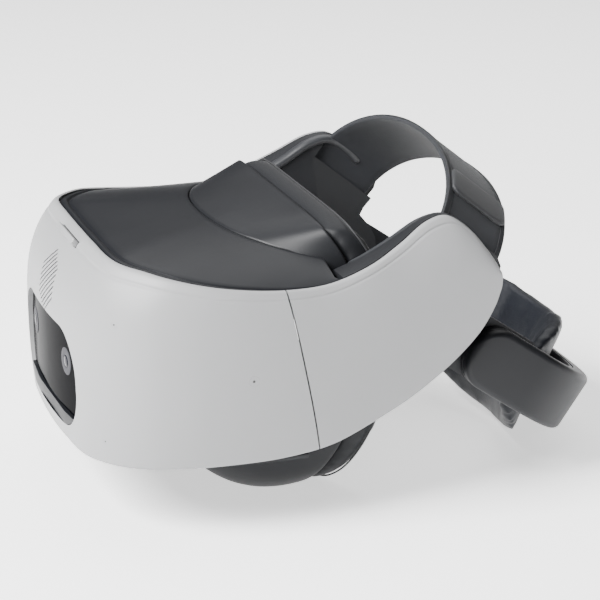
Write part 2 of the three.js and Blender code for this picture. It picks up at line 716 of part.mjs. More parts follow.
// Ring of the arm's filling between the outer wall and the flat inner face.
function armRing(s, margin, inset, inner) {
  const rim = along(rails.rim, s)
  const belly = along(rails.belly, s)
  const foot = along(rails.foot, s)
  const high = 1 - margin / (rim.z - belly.z)
  const low = 1 - margin / (belly.z - foot.z)
  const outer = [-low, -0.8 * low, -0.45 * low, 0, 0.4 * high, 0.7 * high, 0.88 * high, high]
  const ring = outer.map((q) => skin(s, q, inset))
  const top = ring[ring.length - 1]
  const bottom = ring[0]
  const soft = Math.min(3, (top.z - bottom.z) / 6)
  ring.push(new THREE.Vector3(inner + soft, top.y, top.z - 0.3))
  ring.push(new THREE.Vector3(inner + 0.3 * soft, top.y, top.z - 0.35 * soft))
  ring.push(new THREE.Vector3(inner, top.y, top.z - soft))
  ring.push(new THREE.Vector3(inner, bottom.y, bottom.z + soft))
  ring.push(new THREE.Vector3(inner + soft, bottom.y, bottom.z))
  return ring
}

function armFilling(from, to, margin, inset, inner) {
  return loft(spread(from, to, 18).map((s) => armRing(s, margin, inset, inner)))
}

// Side outlines [y, height over EYE] of the strap anchor and of the plate inside the band.
const ANCHOR = [[158, 40], [160, 61], [172, 63], [184, 55.5], [193, 49], [198, 44.5], [200, 39.5], [198.5, 34.5],
  [194.5, 30], [188.3, 23], [181, 29.5], [172, 34]]
const GUIDE = [[150, 34], [176, 30], [188.3, 22.6], [194.5, 15], [197.6, 9], [198, 4], [195.8, -1.2], [191.5, -4.2],
  [186, -5], [176, -3], [163, 4], [150, 10]]

function sidePlate(outline, x0, x1) {
  const points = outline.map(([y, z]) => new THREE.Vector2(y, z + EYE))
  return sideways(new THREE.Shape(points), x0, x1)
}

function tiltedCutter(frame, x0, x1, y0, y1, z0, z1) {
  return box(x0, x1, y0, y1, z0, z1).applyMatrix4(frame.matrix)
}

const BAND = { from: 128, wide: 184, low: 93.5, high: 124.5, tongueLow: 99, tongueHigh: 117, tongueEnd: 195 }

function armLining() {
  const filling = armFilling(LINING.from, LINING.to, 0, WALL + GAP, LINING_IN)
  const hollow = armFilling(LINING.from - 0.02, LINING.to - 0.018, LINING_WALL, -8, LINING_IN + LINING_WALL)
  const anchor = sidePlate(ANCHOR, LINING_IN, 81.2)
  const guide = sidePlate(GUIDE, LINING_IN, BAND_IN - GAP)
  const { front, width, slot, tail } = STRAP
  const [w0, w1] = [front - GAP, front + width + GAP]
  const recess = tiltedCutter(strapFrame, LINING_IN - 2, 79.2, w0, w1 + 20, slot, slot + 60)
  const pocket = tiltedCutter(strapFrame, BAND_IN - GAP, 79.2, w0, w1, slot - tail - 1, slot + 1)
  const bandPath = tiltedCutter(cradleFrame, BAND_IN - GAP, BAND_IN + BAND_THICK + GAP,
    BAND.from - 2, 230, BAND.low - GAP, BAND.high + GAP)
  const soundSlots = spread(118, 130, 4).map((y) => box(LINING_IN - 2, LINING_IN + 4, y - 0.7, y + 0.7, EYE + 6, EYE + 16))
  const body = join(cut(filling, hollow), anchor, guide)
  return cut(body, recess, pocket, bandPath, ...soundSlots)
}

function speaker() {
  const disc = new THREE.CylinderGeometry(9, 9, 4.5, 24).rotateZ(Math.PI / 2)
  return disc.translate(80, 124, EYE + 11)
}

const leftLining = armLining()
add('left_arm_lining', leftLining, 'charcoal')
add('right_arm_lining', mirrored(leftLining), 'charcoal')
add('left_speaker', speaker(), 'metal')
add('right_speaker', mirrored(speaker()), 'metal')

// ---------------------------------------------------------------- top strap
const STRAP_HALF = 77.9
const STRAP_STEPS = 40

// Centre line of the arch, [x, height along the strap frame].
function archPoint(angle, lift = 0) {
  const power = 2 / STRAP.power
  const across = (STRAP_HALF + lift) * Math.sign(Math.cos(angle)) * Math.abs(Math.cos(angle)) ** power
  const up = STRAP.slot + (STRAP.rise + lift) * Math.abs(Math.sin(angle)) ** power
  return new THREE.Vector2(across, up)
}

// Outline of a strip of even thickness along a line of points.
function ribbon(points, thick) {
  const sideOf = (i) => {
    const before = points[Math.max(i - 1, 0)]
    const after = points[Math.min(i + 1, points.length - 1)]
    const run = after.clone().sub(before).normalize()
    return new THREE.Vector2(-run.y, run.x)
  }
  const over = points.map((point, i) => point.clone().addScaledVector(sideOf(i), thick / 2))
  const under = points.map((point, i) => point.clone().addScaledVector(sideOf(i), -thick / 2)).reverse()
  return new THREE.Shape([...over, ...under])
}

function topStrap() {
  const arch = spread(0, Math.PI, STRAP_STEPS).map((angle) => archPoint(angle))
  const start = new THREE.Vector2(STRAP_HALF, STRAP.slot - STRAP.tail)
  const end = new THREE.Vector2(-STRAP_HALF, STRAP.slot - STRAP.tail)
  const outline = ribbon([start, ...arch, end], STRAP.thick)
  return forward(outline, STRAP.front, STRAP.front + STRAP.width)
}

const TAB = { from: 0.62, to: 0.86, thick: 1.8, margin: 1.6 }

function strapTab() {
  const lift = STRAP.thick / 2 + GAP + TAB.thick / 2
  const points = spread(TAB.from, TAB.to, 6).map((angle) => archPoint(angle, lift))
  const { margin } = TAB
  return forward(ribbon(points, TAB.thick), STRAP.front + margin, STRAP.front + STRAP.width - margin)
}

add('top_strap', topStrap(), 'webbing', strapFrame)
add('left_strap_tab', strapTab(), 'webbing', strapFrame)
add('right_strap_tab', mirrored(strapTab()), 'webbing', strapFrame)

// ---------------------------------------------------------------- side bands
function sideBand() {
  const { from, wide, low, high, tongueLow, tongueHigh, tongueEnd } = BAND
  const plate = sideways(rounded(from, wide, low, high, 5), BAND_IN, BAND_IN + BAND_THICK)
  const neck = box(BAND_IN, BAND_IN + BAND_THICK, wide - 8, 189, tongueLow, tongueHigh)
  const step = box(BAND_IN, 83.2, 185.5, 189, tongueLow, tongueHigh)
  const tongue = box(81.4, 83.2, 187, tongueEnd, tongueLow, tongueHigh)
  return join(plate, neck, step, tongue)
}

add('left_band', sideBand(), 'charcoal', cradleFrame)
add('right_band', mirrored(sideBand()), 'charcoal', cradleFrame)

// ---------------------------------------------------------------- rear cradle casing
// Line of a U from the left front end round the back to the right front end.
function uLine(half, reach, front) {
  const bend = spread(0, Math.PI, 32).map((angle) =>
    new THREE.Vector2(half * Math.cos(angle), POD.straight + reach * Math.sin(angle)))
  return [new THREE.Vector2(half, front), ...bend, new THREE.Vector2(-half, front)]
}

function uRegion(outer, inner, front) {
  return new THREE.Shape([...uLine(...outer, front), ...uLine(...inner, front).reverse()])
}

function podSides(inset, radius) {
  const { front, low, high } = POD
  return sideways(rounded(front + inset, 300, low + inset, high - inset, radius), -100, 100)
}

const COVER_WALL = 1.5

function rearCasing() {
  const { halfWidth, reach, wall, low, high, front } = POD
  const inner = [POD_INNER.halfWidth + COVER_WALL + GAP, POD_INNER.reach + COVER_WALL + GAP]
  const blank = common(upright(uRegion([halfWidth, reach], inner, front), low, high), podSides(0, 13))
  const hollowLine = uRegion([halfWidth - wall, reach - wall], [70, 36], front - 5)
  const hollow = common(upright(hollowLine, low + wall, high - wall), podSides(wall, 11))
  const shaftHole = rod(0, (low + high) / 2, 230, 262, 3.4)
  return cut(blank, hollow, shaftHole)
}

function casingCover() {
  const { low, high, front } = POD
  const { halfWidth, reach } = POD_INNER
  const region = uRegion([halfWidth + COVER_WALL, reach + COVER_WALL], [halfWidth, reach], front)
  const blank = common(upright(region, low, high), podSides(0.4, 12.6))
  const guideSlots = [-1, 1].map((side) => box(side * 82 - 6, side * 82 + 6, 154.2, 194, BAND.tongueLow - 0.8,
    BAND.tongueHigh + 0.8))
  return cut(blank, ...guideSlots)
}

add('rear_casing', rearCasing(), 'charcoal', cradleFrame)
add('rear_casing_cover', casingCover(), 'charcoal', cradleFrame)

// ---------------------------------------------------------------- cradle adjuster
const ADJUST = { level: 108, y0: 235.4, y1: 238.4, rackRoot: 6.5, rackTip: 5, rackBack: 9.5, reach: 35, spare: 7 }
const ADJUST_PITCH = (2 * Math.PI * GEAR.pitch) / GEAR.teeth

function adjusterRack(phase) {
  const { y0, y1, rackRoot, rackTip, rackBack, reach, spare } = ADJUST
  return forward(rackShape(-spare, reach, ADJUST_PITCH, phase, -rackBack, -rackRoot, -rackTip), y0, y1)
}

function dialPinion() {
  const outline = gearShape(GEAR, Math.PI / 2)
  const blank = forward(outline, ADJUST.y0, ADJUST.y1)
  return cut(blank, rod(0, 0, 200, 300, 3)).translate(0, 0, ADJUST.level)
}

function adjusterDial() {
  const knob = knurled(13, 0, 6.2, 32, 0.7).rotateX(-Math.PI / 2).translate(0, 247.5, 0)
  const shaft = rod(0, 0, 235.4, 248.5, 2.7)
  return join(knob, shaft).translate(0, 0, ADJUST.level)
}

const upperRack = adjusterRack(ADJUST_PITCH / 2).rotateY(Math.PI).translate(0, 0, ADJUST.level)
const lowerRack = adjusterRack(0).translate(0, 0, ADJUST.level)
add('left_adjuster_rack', upperRack, 'charcoal', cradleFrame)
add('right_adjuster_rack', lowerRack, 'charcoal', cradleFrame)
add('adjuster_pinion', dialPinion(), 'metal', cradleFrame)
add('adjuster_dial', adjusterDial(), 'charcoal', cradleFrame)

// ---------------------------------------------------------------- rear cushion and its carrier
const PAD = { low: 76.5, high: 142, middle: 106, sweep: 80, power: 2.6, half: 60, thick: 10, reachBase: 44.5 }

function padSweep(level, low, high) {
  const span = level > PAD.middle ? high - PAD.middle : PAD.middle - low
  const share = Math.min(Math.abs(level - PAD.middle) / span, 0.985)
  return THREE.MathUtils.degToRad(PAD.sweep * (1 - share ** PAD.power) ** (1 / PAD.power))
}

function padReach(level) {
  const knee = 92
  const flare = level < knee ? 6 * ((knee - level) / (knee - PAD.low)) ** 1.4 : -0.16 * (level - knee)
  return PAD.reachBase + flare
}

function padRing(level, low, high, lift, thick) {
  const sweep = padSweep(level, low, high)
  const reach = padReach(level) + lift
  const arc = (half, depth) => spread(-sweep, sweep, 16).map((angle) =>
    new THREE.Vector3(half * Math.sin(angle), POD.straight + depth * Math.cos(angle), level))
  return [...arc(PAD.half + lift, reach), ...arc(PAD.half + lift - thick, reach - thick).reverse()]
}

function padSolid(low, high, lift, thick, levels = 16) {
  const heights = spread(0, Math.PI, levels).map((angle) => mix(low, high, (1 - Math.cos(angle)) / 2))
  return loft(heights.map((level) => padRing(level, low, high, lift, thick)))
}

add('rear_cushion', padSolid(PAD.low, PAD.high, 0, PAD.thick), 'foam', cradleFrame)

const CARRIER = { half: 26, low: 98, high: 118 }

// The block that fills the space between the cushion and the casing cover.
function cushionCarrier() {
  const { half, low, high } = CARRIER
  const line = uLine(POD_INNER.halfWidth - GAP, POD_INNER.reach - GAP, POD.straight - 20)
  const inside = upright(new THREE.Shape(line), low, high)
  const block = common(inside, box(-half, half, POD.straight + 20, 250, low, high))
  return cut(block, padSolid(PAD.low - 6, PAD.high + 6, 1, 30))
}

add('cushion_carrier', cushionCarrier(), 'charcoal', cradleFrame)

// ---------------------------------------------------------------- stand the whole on its own footprint
const bounds = new THREE.Box3().setFromObject(model, true)
model.position.set(-(bounds.min.x + bounds.max.x) / 2, -(bounds.min.y + bounds.max.y) / 2, -bounds.min.z)

export default model
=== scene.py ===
import json
import math

import bmesh
import bpy
import numpy as np
from mathutils import Matrix, Vector


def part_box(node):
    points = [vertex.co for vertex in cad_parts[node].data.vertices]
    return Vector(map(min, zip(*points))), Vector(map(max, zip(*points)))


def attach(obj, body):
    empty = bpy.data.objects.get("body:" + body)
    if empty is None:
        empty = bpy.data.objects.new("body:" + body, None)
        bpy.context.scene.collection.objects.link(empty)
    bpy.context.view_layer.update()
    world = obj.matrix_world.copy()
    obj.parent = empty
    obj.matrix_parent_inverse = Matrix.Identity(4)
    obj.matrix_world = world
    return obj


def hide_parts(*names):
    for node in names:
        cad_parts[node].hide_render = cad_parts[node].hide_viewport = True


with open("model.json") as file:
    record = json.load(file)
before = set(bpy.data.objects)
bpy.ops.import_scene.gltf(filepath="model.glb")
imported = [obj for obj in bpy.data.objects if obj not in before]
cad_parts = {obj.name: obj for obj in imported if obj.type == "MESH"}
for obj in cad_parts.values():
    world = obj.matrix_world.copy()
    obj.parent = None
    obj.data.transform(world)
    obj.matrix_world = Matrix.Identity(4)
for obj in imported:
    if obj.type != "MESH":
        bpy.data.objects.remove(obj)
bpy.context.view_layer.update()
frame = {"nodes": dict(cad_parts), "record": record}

# ------------------------------------------------------------------ shared dimensions, millimetres
WALL, GAP, COVER = 2.6, 0.4, 2.0
SEAM_DEPTH, DECK_REAR, DECK_END = 78.0, 116.0, 0.578
DECK_CROWN, DECK_FALL = 56.4, 11.6
FACE_BOW = 0.0015
WINDOW = {"half": 49.0, "top": 16.0, "foot": -33.0, "corner": 22.0, "glass_foot": -26.0, "face": 1.6,
          "thick": 1.8}
CAMERA_X, CAMERA_Z = 31.0, -1.0
STRAP = {"lean": 38.9, "width": 38.0, "front": 92.1, "slot": 146.3, "rise": 41.0, "thick": 2.4, "tail": 8.0,
         "power": 2.1}
STRAP_HALF = 77.9
CRADLE_TILT = 35.0
POD = {"front": 150.0, "straight": 187.0, "half": 88.0, "reach": 60.0, "low": 92.5, "high": 123.5,
       "wall": 2.2}
PAD = {"low": 76.5, "high": 142.0, "middle": 106.0, "sweep": 80.0, "power": 2.6, "half": 60.0,
       "thick": 10.0, "reach": 44.5}
VENT = {"z": 29.0, "half": 13.0, "slots": 11, "pitch": 2.4, "slot": 0.9, "slant": 40.0}
KEY = {"y": 13.2, "z": 50.4, "length": 30.0, "width": 2.6, "tilt": 42.0}
SENSORS = ((0.472, 0.0626, 0.62), (0.230, 0.5466, 0.4), (0.202, -0.712, 0.4))  # s, q on the shell, radius
BORDER = {"start": 0.60, "end": 0.925, "q": 0.985, "x": 75.6, "drop": 2.4, "radius": 2.5, "widen": 1.35}
FLOOR_HALF = 20.0  # metres

# The inner frame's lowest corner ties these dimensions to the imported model.
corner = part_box("inner_frame")[0]
ORIGIN = np.array([0.0, corner.y * 1000 - 55.5, corner.z * 1000 + 29.0])

# Rails of the shell from the middle of the face to the tip of the left arm: x, y, height over the cameras.
RIM = [
    (0, 17.3, 53.4), (26, 17.5, 53.4), (50, 18.5, 53.2), (60, 22, 52.4), (70, 29.5, 51.5), (79, 38.5, 49.9),
    (86.1, 52, 47.3), (90.5, 68, 44.9), (92.8, 90, 43), (92.9, 112, 43.9), (92.5, 132, 50.6),
    (89.3, 147, 58.2),
    (85.2, 161, 66), (83.2, 171.5, 67.4), (84, 181.5, 61.2), (88, 190, 50.5), (92, 195, 41.5),
]
BELLY = [
    (0, -0.6, 2), (28, 0.6, 2), (52, 3.5, 2), (66, 8.5, 2), (77, 16.5, 2), (85.5, 27.5, 2),
    (91.5, 42.5, 2), (95.2, 61, 1), (97.3, 84, 1), (97.6, 109, 3), (97, 132, 12), (96.2, 149, 21),
    (95.4, 163.5, 30), (94.8, 176, 35), (94.3, 186, 37.5), (94, 192, 38), (93.8, 195.4, 37.8),
]
FOOT = [
    (0, 1.6, -40.5), (27, 2.6, -40.5), (51, 5.5, -40.5), (64, 11.5, -40.4), (74, 19.5, -40),
    (82, 30.5, -39.5),
    (88, 46, -38.8), (91.5, 64, -38.2), (93.4, 88, -37.2), (93.7, 112, -33.6), (93.4, 133, -25),
    (93.6, 151, -15.5),
    (94, 165, -5.6), (94.2, 176, 3.8), (94.2, 185.5, 14), (94.1, 192, 25), (93.9, 195, 33.5),
]
HOOD_FRONT = [
    (0, 78, 56.2), (20, 79.5, 56.1), (38, 84.6, 55.2), (53, 93.9, 53.2), (66.5, 108.8, 47.5), (71, 109, 24),
    (71.6, 100, 2), (69.5, 88, -20), (61, 72, -38.5), (50, 60, -43.5), (37, 52, -44), (22, 51, -42.5),
    (11, 53, -41.5), (0, 54, -41),
]
HOOD_MIDDLE = [
    (0, 98, 60.3), (23, 98.8, 60.1), (44, 101.4, 59.3), (59, 107.2, 57.2), (69.4, 117.6, 47.6),
    (72.2, 120.5, 24),
    (72.7, 119, 1), (70.8, 111, -24), (63, 99, -48), (51, 88, -64), (37, 80, -70), (22, 78, -63),
    (11.5, 79, -52), (0, 80, -45),
]
HOOD_RIDGE = [
    (0, 118, 63.4), (26, 118, 63.4), (49, 117.8, 63.3), (64.5, 119, 60.6), (71.2, 126.5, 47),
    (72.6, 132.5, 24),
    (72.7, 135.5, 0), (70.8, 132.5, -26), (63, 126, -50), (51.5, 118.5, -67), (37, 113, -74.2),
    (22.5, 109.5, -69),
    (12, 106, -56), (0, 104, -47.5),
]


# ------------------------------------------------------------------ curves
def centripetal(points, t, closed=False):
    """A point of the centripetal spline through the points, with t from 0 to 1."""
    count = len(points)
    spot = (count - (0 if closed else 1)) * t
    first = math.floor(spot)
    weight = spot - first
    if not closed and first >= count - 1:
        first, weight = count - 2, 1.0

    def at(i):
        if closed:
            return points[i % count]
        if i < 0:
            return 2 * points[0] - points[1]
        if i >= count:
            return 2 * points[-1] - points[-2]
        return points[i]

    p0, p1, p2, p3 = (at(first + k) for k in (-1, 0, 1, 2))
    d0, d1, d2 = (max(float(np.sum((b - a) ** 2)) ** 0.25, 1e-4) for a, b in ((p0, p1), (p1, p2), (p2, p3)))
    t1 = ((p1 - p0) / d0 - (p2 - p0) / (d0 + d1) + (p2 - p1) / d1) * d1
    t2 = ((p2 - p1) / d1 - (p3 - p1) / (d1 + d2) + (p3 - p2) / d2) * d1
    w = weight
    return p1 + t1 * w + (-3 * p1 + 3 * p2 - 2 * t1 - t2) * w * w + (2 * p1 - 2 * p2 + t1 + t2) * w ** 3


def rail(half):
    points = [np.array(p, float) for p in half]
    others = [p * (-1, 1, 1) for p in points[:0:-1]]
    return others + points


RAILS = {"rim": rail(RIM), "belly": rail(BELLY), "foot": rail(FOOT)}


def along(name, s):
    return centripetal(RAILS[name], min(max((s + 1) / 2, 0), 1))


def outward(s):
    run = along("belly", min(s + 0.004, 1)) - along("belly", max(s - 0.004, -1))
    out = np.array([run[1], -run[0], 0.0])
    return out / np.linalg.norm(out)


class Station:
    """The shell's section at one place along the rails."""

    def __init__(self, s):
        self.belly, self.rim, self.foot = along("belly", s), along("rim", s), along("foot", s)
        self.out = outward(s)

    def point(self, q, inset=0.0):
        to = self.rim if q > 0 else self.foot
        share = abs(q) ** (3 if q > 0 else 2.4)
        p = self.belly + (to - self.belly) * np.array([share, share, abs(q)])
        return p - self.out * inset


def skin(s, q, inset=0.0):
    return Station(s).point(q, inset)


JOINT = {"y": 90.0, "z": 43.0, "lean": 0.2}
joint_places = {}


def joint_at(q):
    """Where the shell's joint crosses a level; it is a straight line, leaning back towards the foot edge."""
    if q not in joint_places:
        low, high = 0.4, 0.65
        for _ in range(20):
            s = (low + high) / 2
            point = skin(s, q)
            if point[1] < JOINT["y"] + JOINT["lean"] * (JOINT["z"] - point[2]):
                low = s
            else:
                high = s
        joint_places[q] = (low + high) / 2
    return joint_places[q]


# ------------------------------------------------------------------ mesh making
def to_metres(points):
    return (np.asarray(points, float) + ORIGIN) / 1000


def tilted(points, degrees):
    """Points of a tilted frame (x, along, over) to the shared frame."""
    c, s = math.cos(math.radians(degrees)), math.sin(math.radians(degrees))
    p = np.asarray(points, float)
    return np.stack([p[..., 0], p[..., 1] * c + p[..., 2] * s, -p[..., 1] * s + p[..., 2] * c], -1)


def new_object(name, points, faces, smooth=True):
    mesh = bpy.data.meshes.new(name)
    mesh.from_pydata([tuple(p) for p in to_metres(points)], [], faces)
    mesh.validate()
    made = bmesh.new()
    made.from_mesh(mesh)
    bmesh.ops.recalc_face_normals(made, faces=made.faces)
    made.to_mesh(mesh)
    made.free()
    for polygon in mesh.polygons:
        polygon.use_smooth = smooth
    obj = bpy.data.objects.new(name, mesh)
    bpy.context.scene.collection.objects.link(obj)
    return obj


def ring_faces(rows, size, endless=False, caps="fill"):
    faces = []
    for row in range(rows if endless else rows - 1):
        here, there = row * size, ((row + 1) % rows) * size
        for i in range(size):
            j = (i + 1) % size
            faces.append((here + i, here + j, there + j, there + i))
    if not endless:
        for start in (0, (rows - 1) * size):
            if caps == "fill":
                faces.append(tuple(range(start, start + size)))
            else:
                for i in range(size // 2 - 1):
                    faces.append((start + i, start + i + 1, start + size - 2 - i, start + size - 1 - i))
    return faces


def loft(name, rings, endless=False, caps="fill"):
    rings = np.asarray(rings, float)
    rows, size = rings.shape[:2]
    return new_object(name, rings.reshape(-1, 3), ring_faces(rows, size, endless, caps))


def sharpen(obj, degrees=38):
    """Smooth shading that breaks at edges over this angle."""
    modifier = obj.modifiers.new("shading", "NODES")
    modifier.node_group = shading_group(degrees)


def shading_group(degrees):
    name = f"shading_{degrees}"
    if name in bpy.data.node_groups:
        return bpy.data.node_groups[name]
    group = bpy.data.node_groups.new(name, "GeometryNodeTree")
    group.interface.new_socket("Geometry", in_out="INPUT", socket_type="NodeSocketGeometry")
    group.interface.new_socket("Geometry", in_out="OUTPUT", socket_type="NodeSocketGeometry")
    nodes, links = group.nodes, group.links
    start, end = nodes.new("NodeGroupInput"), nodes.new("NodeGroupOutput")
    weld = nodes.new("GeometryNodeMergeByDistance")
    weld.inputs["Distance"].default_value = 2e-6
    faces = nodes.new("GeometryNodeSetShadeSmooth")
    edges = nodes.new("GeometryNodeSetShadeSmooth")
    edges.domain = "EDGE"
    edges.inputs["Shade Smooth"].default_value = False
    angle = nodes.new("GeometryNodeInputMeshEdgeAngle")
    over = nodes.new("FunctionNodeCompare")
    over.data_type, over.operation = "FLOAT", "GREATER_THAN"
    over.inputs[1].default_value = math.radians(degrees)
    links.new(start.outputs[0], weld.inputs["Geometry"])
    links.new(weld.outputs[0], faces.inputs["Geometry"])
    links.new(faces.outputs[0], edges.inputs["Geometry"])
    links.new(angle.outputs["Unsigned Angle"], over.inputs[0])
    links.new(over.outputs[0], edges.inputs["Selection"])
    links.new(edges.outputs[0], end.inputs[0])
    return group


def soften_edges(obj, width, segments=3, degrees=35):
    """A small bevel in millimetres on edges over this angle."""
    weld = obj.modifiers.new("weld", "WELD")
    weld.merge_threshold = 2e-6
    bevel = obj.modifiers.new("bevel", "BEVEL")
    bevel.width = width / 1000
    bevel.segments = segments
    bevel.limit_method = "ANGLE"
    bevel.angle_limit = math.radians(degrees)


def finish_piece(obj, body, slot, material, *replaced):
    for vertex in obj.data.vertices:  # nothing reaches below the surface the headset stands on
        vertex.co.z = max(vertex.co.z, 0.0)
    obj.data.materials.append(material)
    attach(obj, body)
    if replaced:
        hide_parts(*replaced)
    return obj


# ------------------------------------------------------------------ materials
def grain_material(name, color, roughness, *, spread=0.05, scale=2600, bump=0.05, depth=0.00012, coat=0.0,
                   sheen=0.0, metallic=0.0, cloud=35.0, tone=0.06, specular=0.5, ior=1.5, glow=0.0):
    """Moulded or coated surface: fine grain in the bump, soft variation in colour and gloss."""
    material = bpy.data.materials.new(name)
    material.use_nodes = True
    nodes, links = material.node_tree.nodes, material.node_tree.links
    shader = nodes["Principled BSDF"]
    shader.inputs["Metallic"].default_value = metallic
    shader.inputs["Coat Weight"].default_value = coat
    shader.inputs["Coat Roughness"].default_value = 0.12
    shader.inputs["Sheen Weight"].default_value = sheen
    shader.inputs["Sheen Roughness"].default_value = 0.45
    shader.inputs["Specular IOR Level"].default_value = specular
    shader.inputs["IOR"].default_value = ior
    shader.inputs["Emission Color"].default_value = (1, 1, 1, 1)
    shader.inputs["Emission Strength"].default_value = glow
    place = nodes.new("ShaderNodeTexCoord")
    fine = nodes.new("ShaderNodeTexNoise")
    fine.inputs["Scale"].default_value = scale
    fine.inputs["Detail"].default_value = 3
    broad = nodes.new("ShaderNodeTexNoise")
    broad.inputs["Scale"].default_value = cloud
    broad.inputs["Detail"].default_value = 4
    for texture in (fine, broad):
        links.new(place.outputs["Object"], texture.inputs["Vector"])
    tint = nodes.new("ShaderNodeMix")
    tint.data_type = "RGBA"
    darker = [c * (1 - tone) for c in color]
    lighter = [min(c * (1 + tone), 1) for c in color]
    tint.inputs["A"].default_value = (*darker, 1)
    tint.inputs["B"].default_value = (*lighter, 1)
    links.new(broad.outputs["Fac"], tint.inputs["Factor"])
    links.new(tint.outputs["Result"], shader.inputs["Base Color"])
    gloss = nodes.new("ShaderNodeMapRange")
    gloss.inputs["To Min"].default_value = max(roughness - spread, 0.02)
    gloss.inputs["To Max"].default_value = min(roughness + spread, 1)
    links.new(broad.outputs["Fac"], gloss.inputs["Value"])
    links.new(gloss.outputs["Result"], shader.inputs["Roughness"])
    relief = nodes.new("ShaderNodeBump")
    relief.inputs["Strength"].default_value = bump
    relief.inputs["Distance"].default_value = depth
    links.new(fine.outputs["Fac"], relief.inputs["Height"])
    links.new(relief.outputs["Normal"], shader.inputs["Normal"])
    return material


def weave_material(name, color, roughness, threads, *, depth=0.00018, sheen=0.2, strength=0.7):
    """Woven tape: two crossing sets of threads, laid out on the tape's own UV map in metres."""
    material = grain_material(name, color, roughness, scale=5200, bump=0.05, sheen=sheen, tone=0.1)
    nodes, links = material.node_tree.nodes, material.node_tree.links
    shader = nodes["Principled BSDF"]
    place = nodes.new("ShaderNodeTexCoord")
    heights = []
    for direction in ("X", "Y"):
        wave = nodes.new("ShaderNodeTexWave")
        wave.bands_direction = direction
        wave.inputs["Scale"].default_value = threads
        wave.inputs["Distortion"].default_value = 0.6
        wave.inputs["Detail"].default_value = 1
        links.new(place.outputs["UV"], wave.inputs["Vector"])
        heights.append(wave.outputs["Fac"])
    both = nodes.new("ShaderNodeMath")
    both.operation = "MULTIPLY"
    links.new(heights[0], both.inputs[0])
    links.new(heights[1], both.inputs[1])
    relief = nodes.new("ShaderNodeBump")
    relief.inputs["Strength"].default_value = strength
    relief.inputs["Distance"].default_value = depth
    links.new(both.outputs[0], relief.inputs["Height"])
    links.new(relief.outputs["Normal"], shader.inputs["Normal"])
    return material


def coated_material(name, color, roughness, *, scale=900, strength=0.35, depth=0.0003, sheen=0.04):
    """Coated fabric with a leather-like cell grain."""
    material = grain_material(name, color, roughness, scale=4200, bump=0.05, sheen=sheen, tone=0.08,
                              specular=0.3)
    nodes, links = material.node_tree.nodes, material.node_tree.links
    shader = nodes["Principled BSDF"]
    place = nodes.new("ShaderNodeTexCoord")
    cells = nodes.new("ShaderNodeTexVoronoi")
    cells.feature = "DISTANCE_TO_EDGE"
    cells.inputs["Scale"].default_value = scale
    links.new(place.outputs["Object"], cells.inputs["Vector"])
    relief = nodes.new("ShaderNodeBump")
    relief.inputs["Strength"].default_value = strength
    relief.inputs["Distance"].default_value = depth
    links.new(cells.outputs["Distance"], relief.inputs["Height"])
    links.new(relief.outputs["Normal"], shader.inputs["Normal"])
    return material


MATERIAL = {
    "shell": grain_material("shell_satin_white", (0.27, 0.272, 0.276), 0.46, scale=2400, bump=0.3,
                            tone=0.012, cloud=20, specular=0.4),
    "deck": grain_material("deck_charcoal", (0.00715, 0.0077, 0.00935), 0.42, scale=3200, bump=0.12,
                           tone=0.06, specular=0.25),
    "charcoal": grain_material("charcoal_plastic", (0.00605, 0.0066, 0.00825), 0.46, scale=2600, bump=0.18,
                               tone=0.07, specular=0.25),
    "hood": grain_material("hood_grey", (0.0088, 0.00935, 0.011), 0.44, scale=2600, bump=0.14, tone=0.06,
                           specular=0.25),
    "lining": grain_material("lining_grey", (0.00935, 0.0099, 0.01155), 0.5, scale=2200, bump=0.22,
                             tone=0.06, specular=0.35),
    "glass": grain_material("window_black", (0.0015, 0.0015, 0.002), 0.16, spread=0.015, scale=60, bump=0.0,
                            tone=0.02, specular=0.03, ior=1.12),
    # lighter grey than the charcoal the ring is made of, with its gloss nearly off: a painted glint
    "ring": grain_material("camera_ring_painted_glint", (0.05, 0.05, 0.055), 0.4, scale=2600, bump=0.1,
                           specular=0.05, ior=1.2),
    "lens": grain_material("lens_black", (0.004, 0.004, 0.008), 0.08, spread=0.01, scale=60, bump=0.0,
                           specular=0.25, ior=1.3),
    "pad": coated_material("pad_coated_fabric", (0.0066, 0.0077, 0.011), 0.42),
    "face_pad": coated_material("face_pad_fabric", (0.00495, 0.0055, 0.00715), 0.6, scale=1300,
                                strength=0.25, sheen=0.05),
    "strap": weave_material("strap_webbing", (0.0055, 0.0066, 0.0099), 0.75, 800, strength=0.4, sheen=0.08),
    "tab": weave_material("tab_webbing", (0.0099, 0.01045, 0.01265), 0.6, 700, strength=0.4, sheen=0.1),
    "edge": grain_material("strap_edge_tape", (0.0165, 0.01705, 0.01925), 0.45, scale=3000, bump=0.2),
    "key": grain_material("key_grey", (0.12, 0.125, 0.13), 0.35, scale=2600, bump=0.1),
    "metal": grain_material("bare_metal", (0.5, 0.5, 0.52), 0.34, metallic=1.0, scale=1800, bump=0.1),
    "dot": grain_material("sensor_dot", (0.02, 0.02, 0.02), 0.5, scale=3000, bump=0.1),
    # lighter copy of the dark lining: a painted highlight for the light on the border's rounded edge
    "border": grain_material("lining_border_painted_highlight", (0.02475, 0.02585, 0.0286), 0.38, scale=2200, bump=0.18,
                             tone=0.05),
    "board": grain_material("board_green", (0.012, 0.07, 0.03), 0.4, scale=700, bump=0.3, tone=0.25,
                            cloud=260),
    "cell": grain_material("battery_wrap", (0.04, 0.045, 0.055), 0.42, scale=1800, bump=0.1),
    "rubber": grain_material("soft_rubber", (0.018, 0.018, 0.02), 0.7, scale=1500, bump=0.25),
    "screen": grain_material("display_black", (0.004, 0.004, 0.007), 0.12, scale=900, bump=0.02),
}
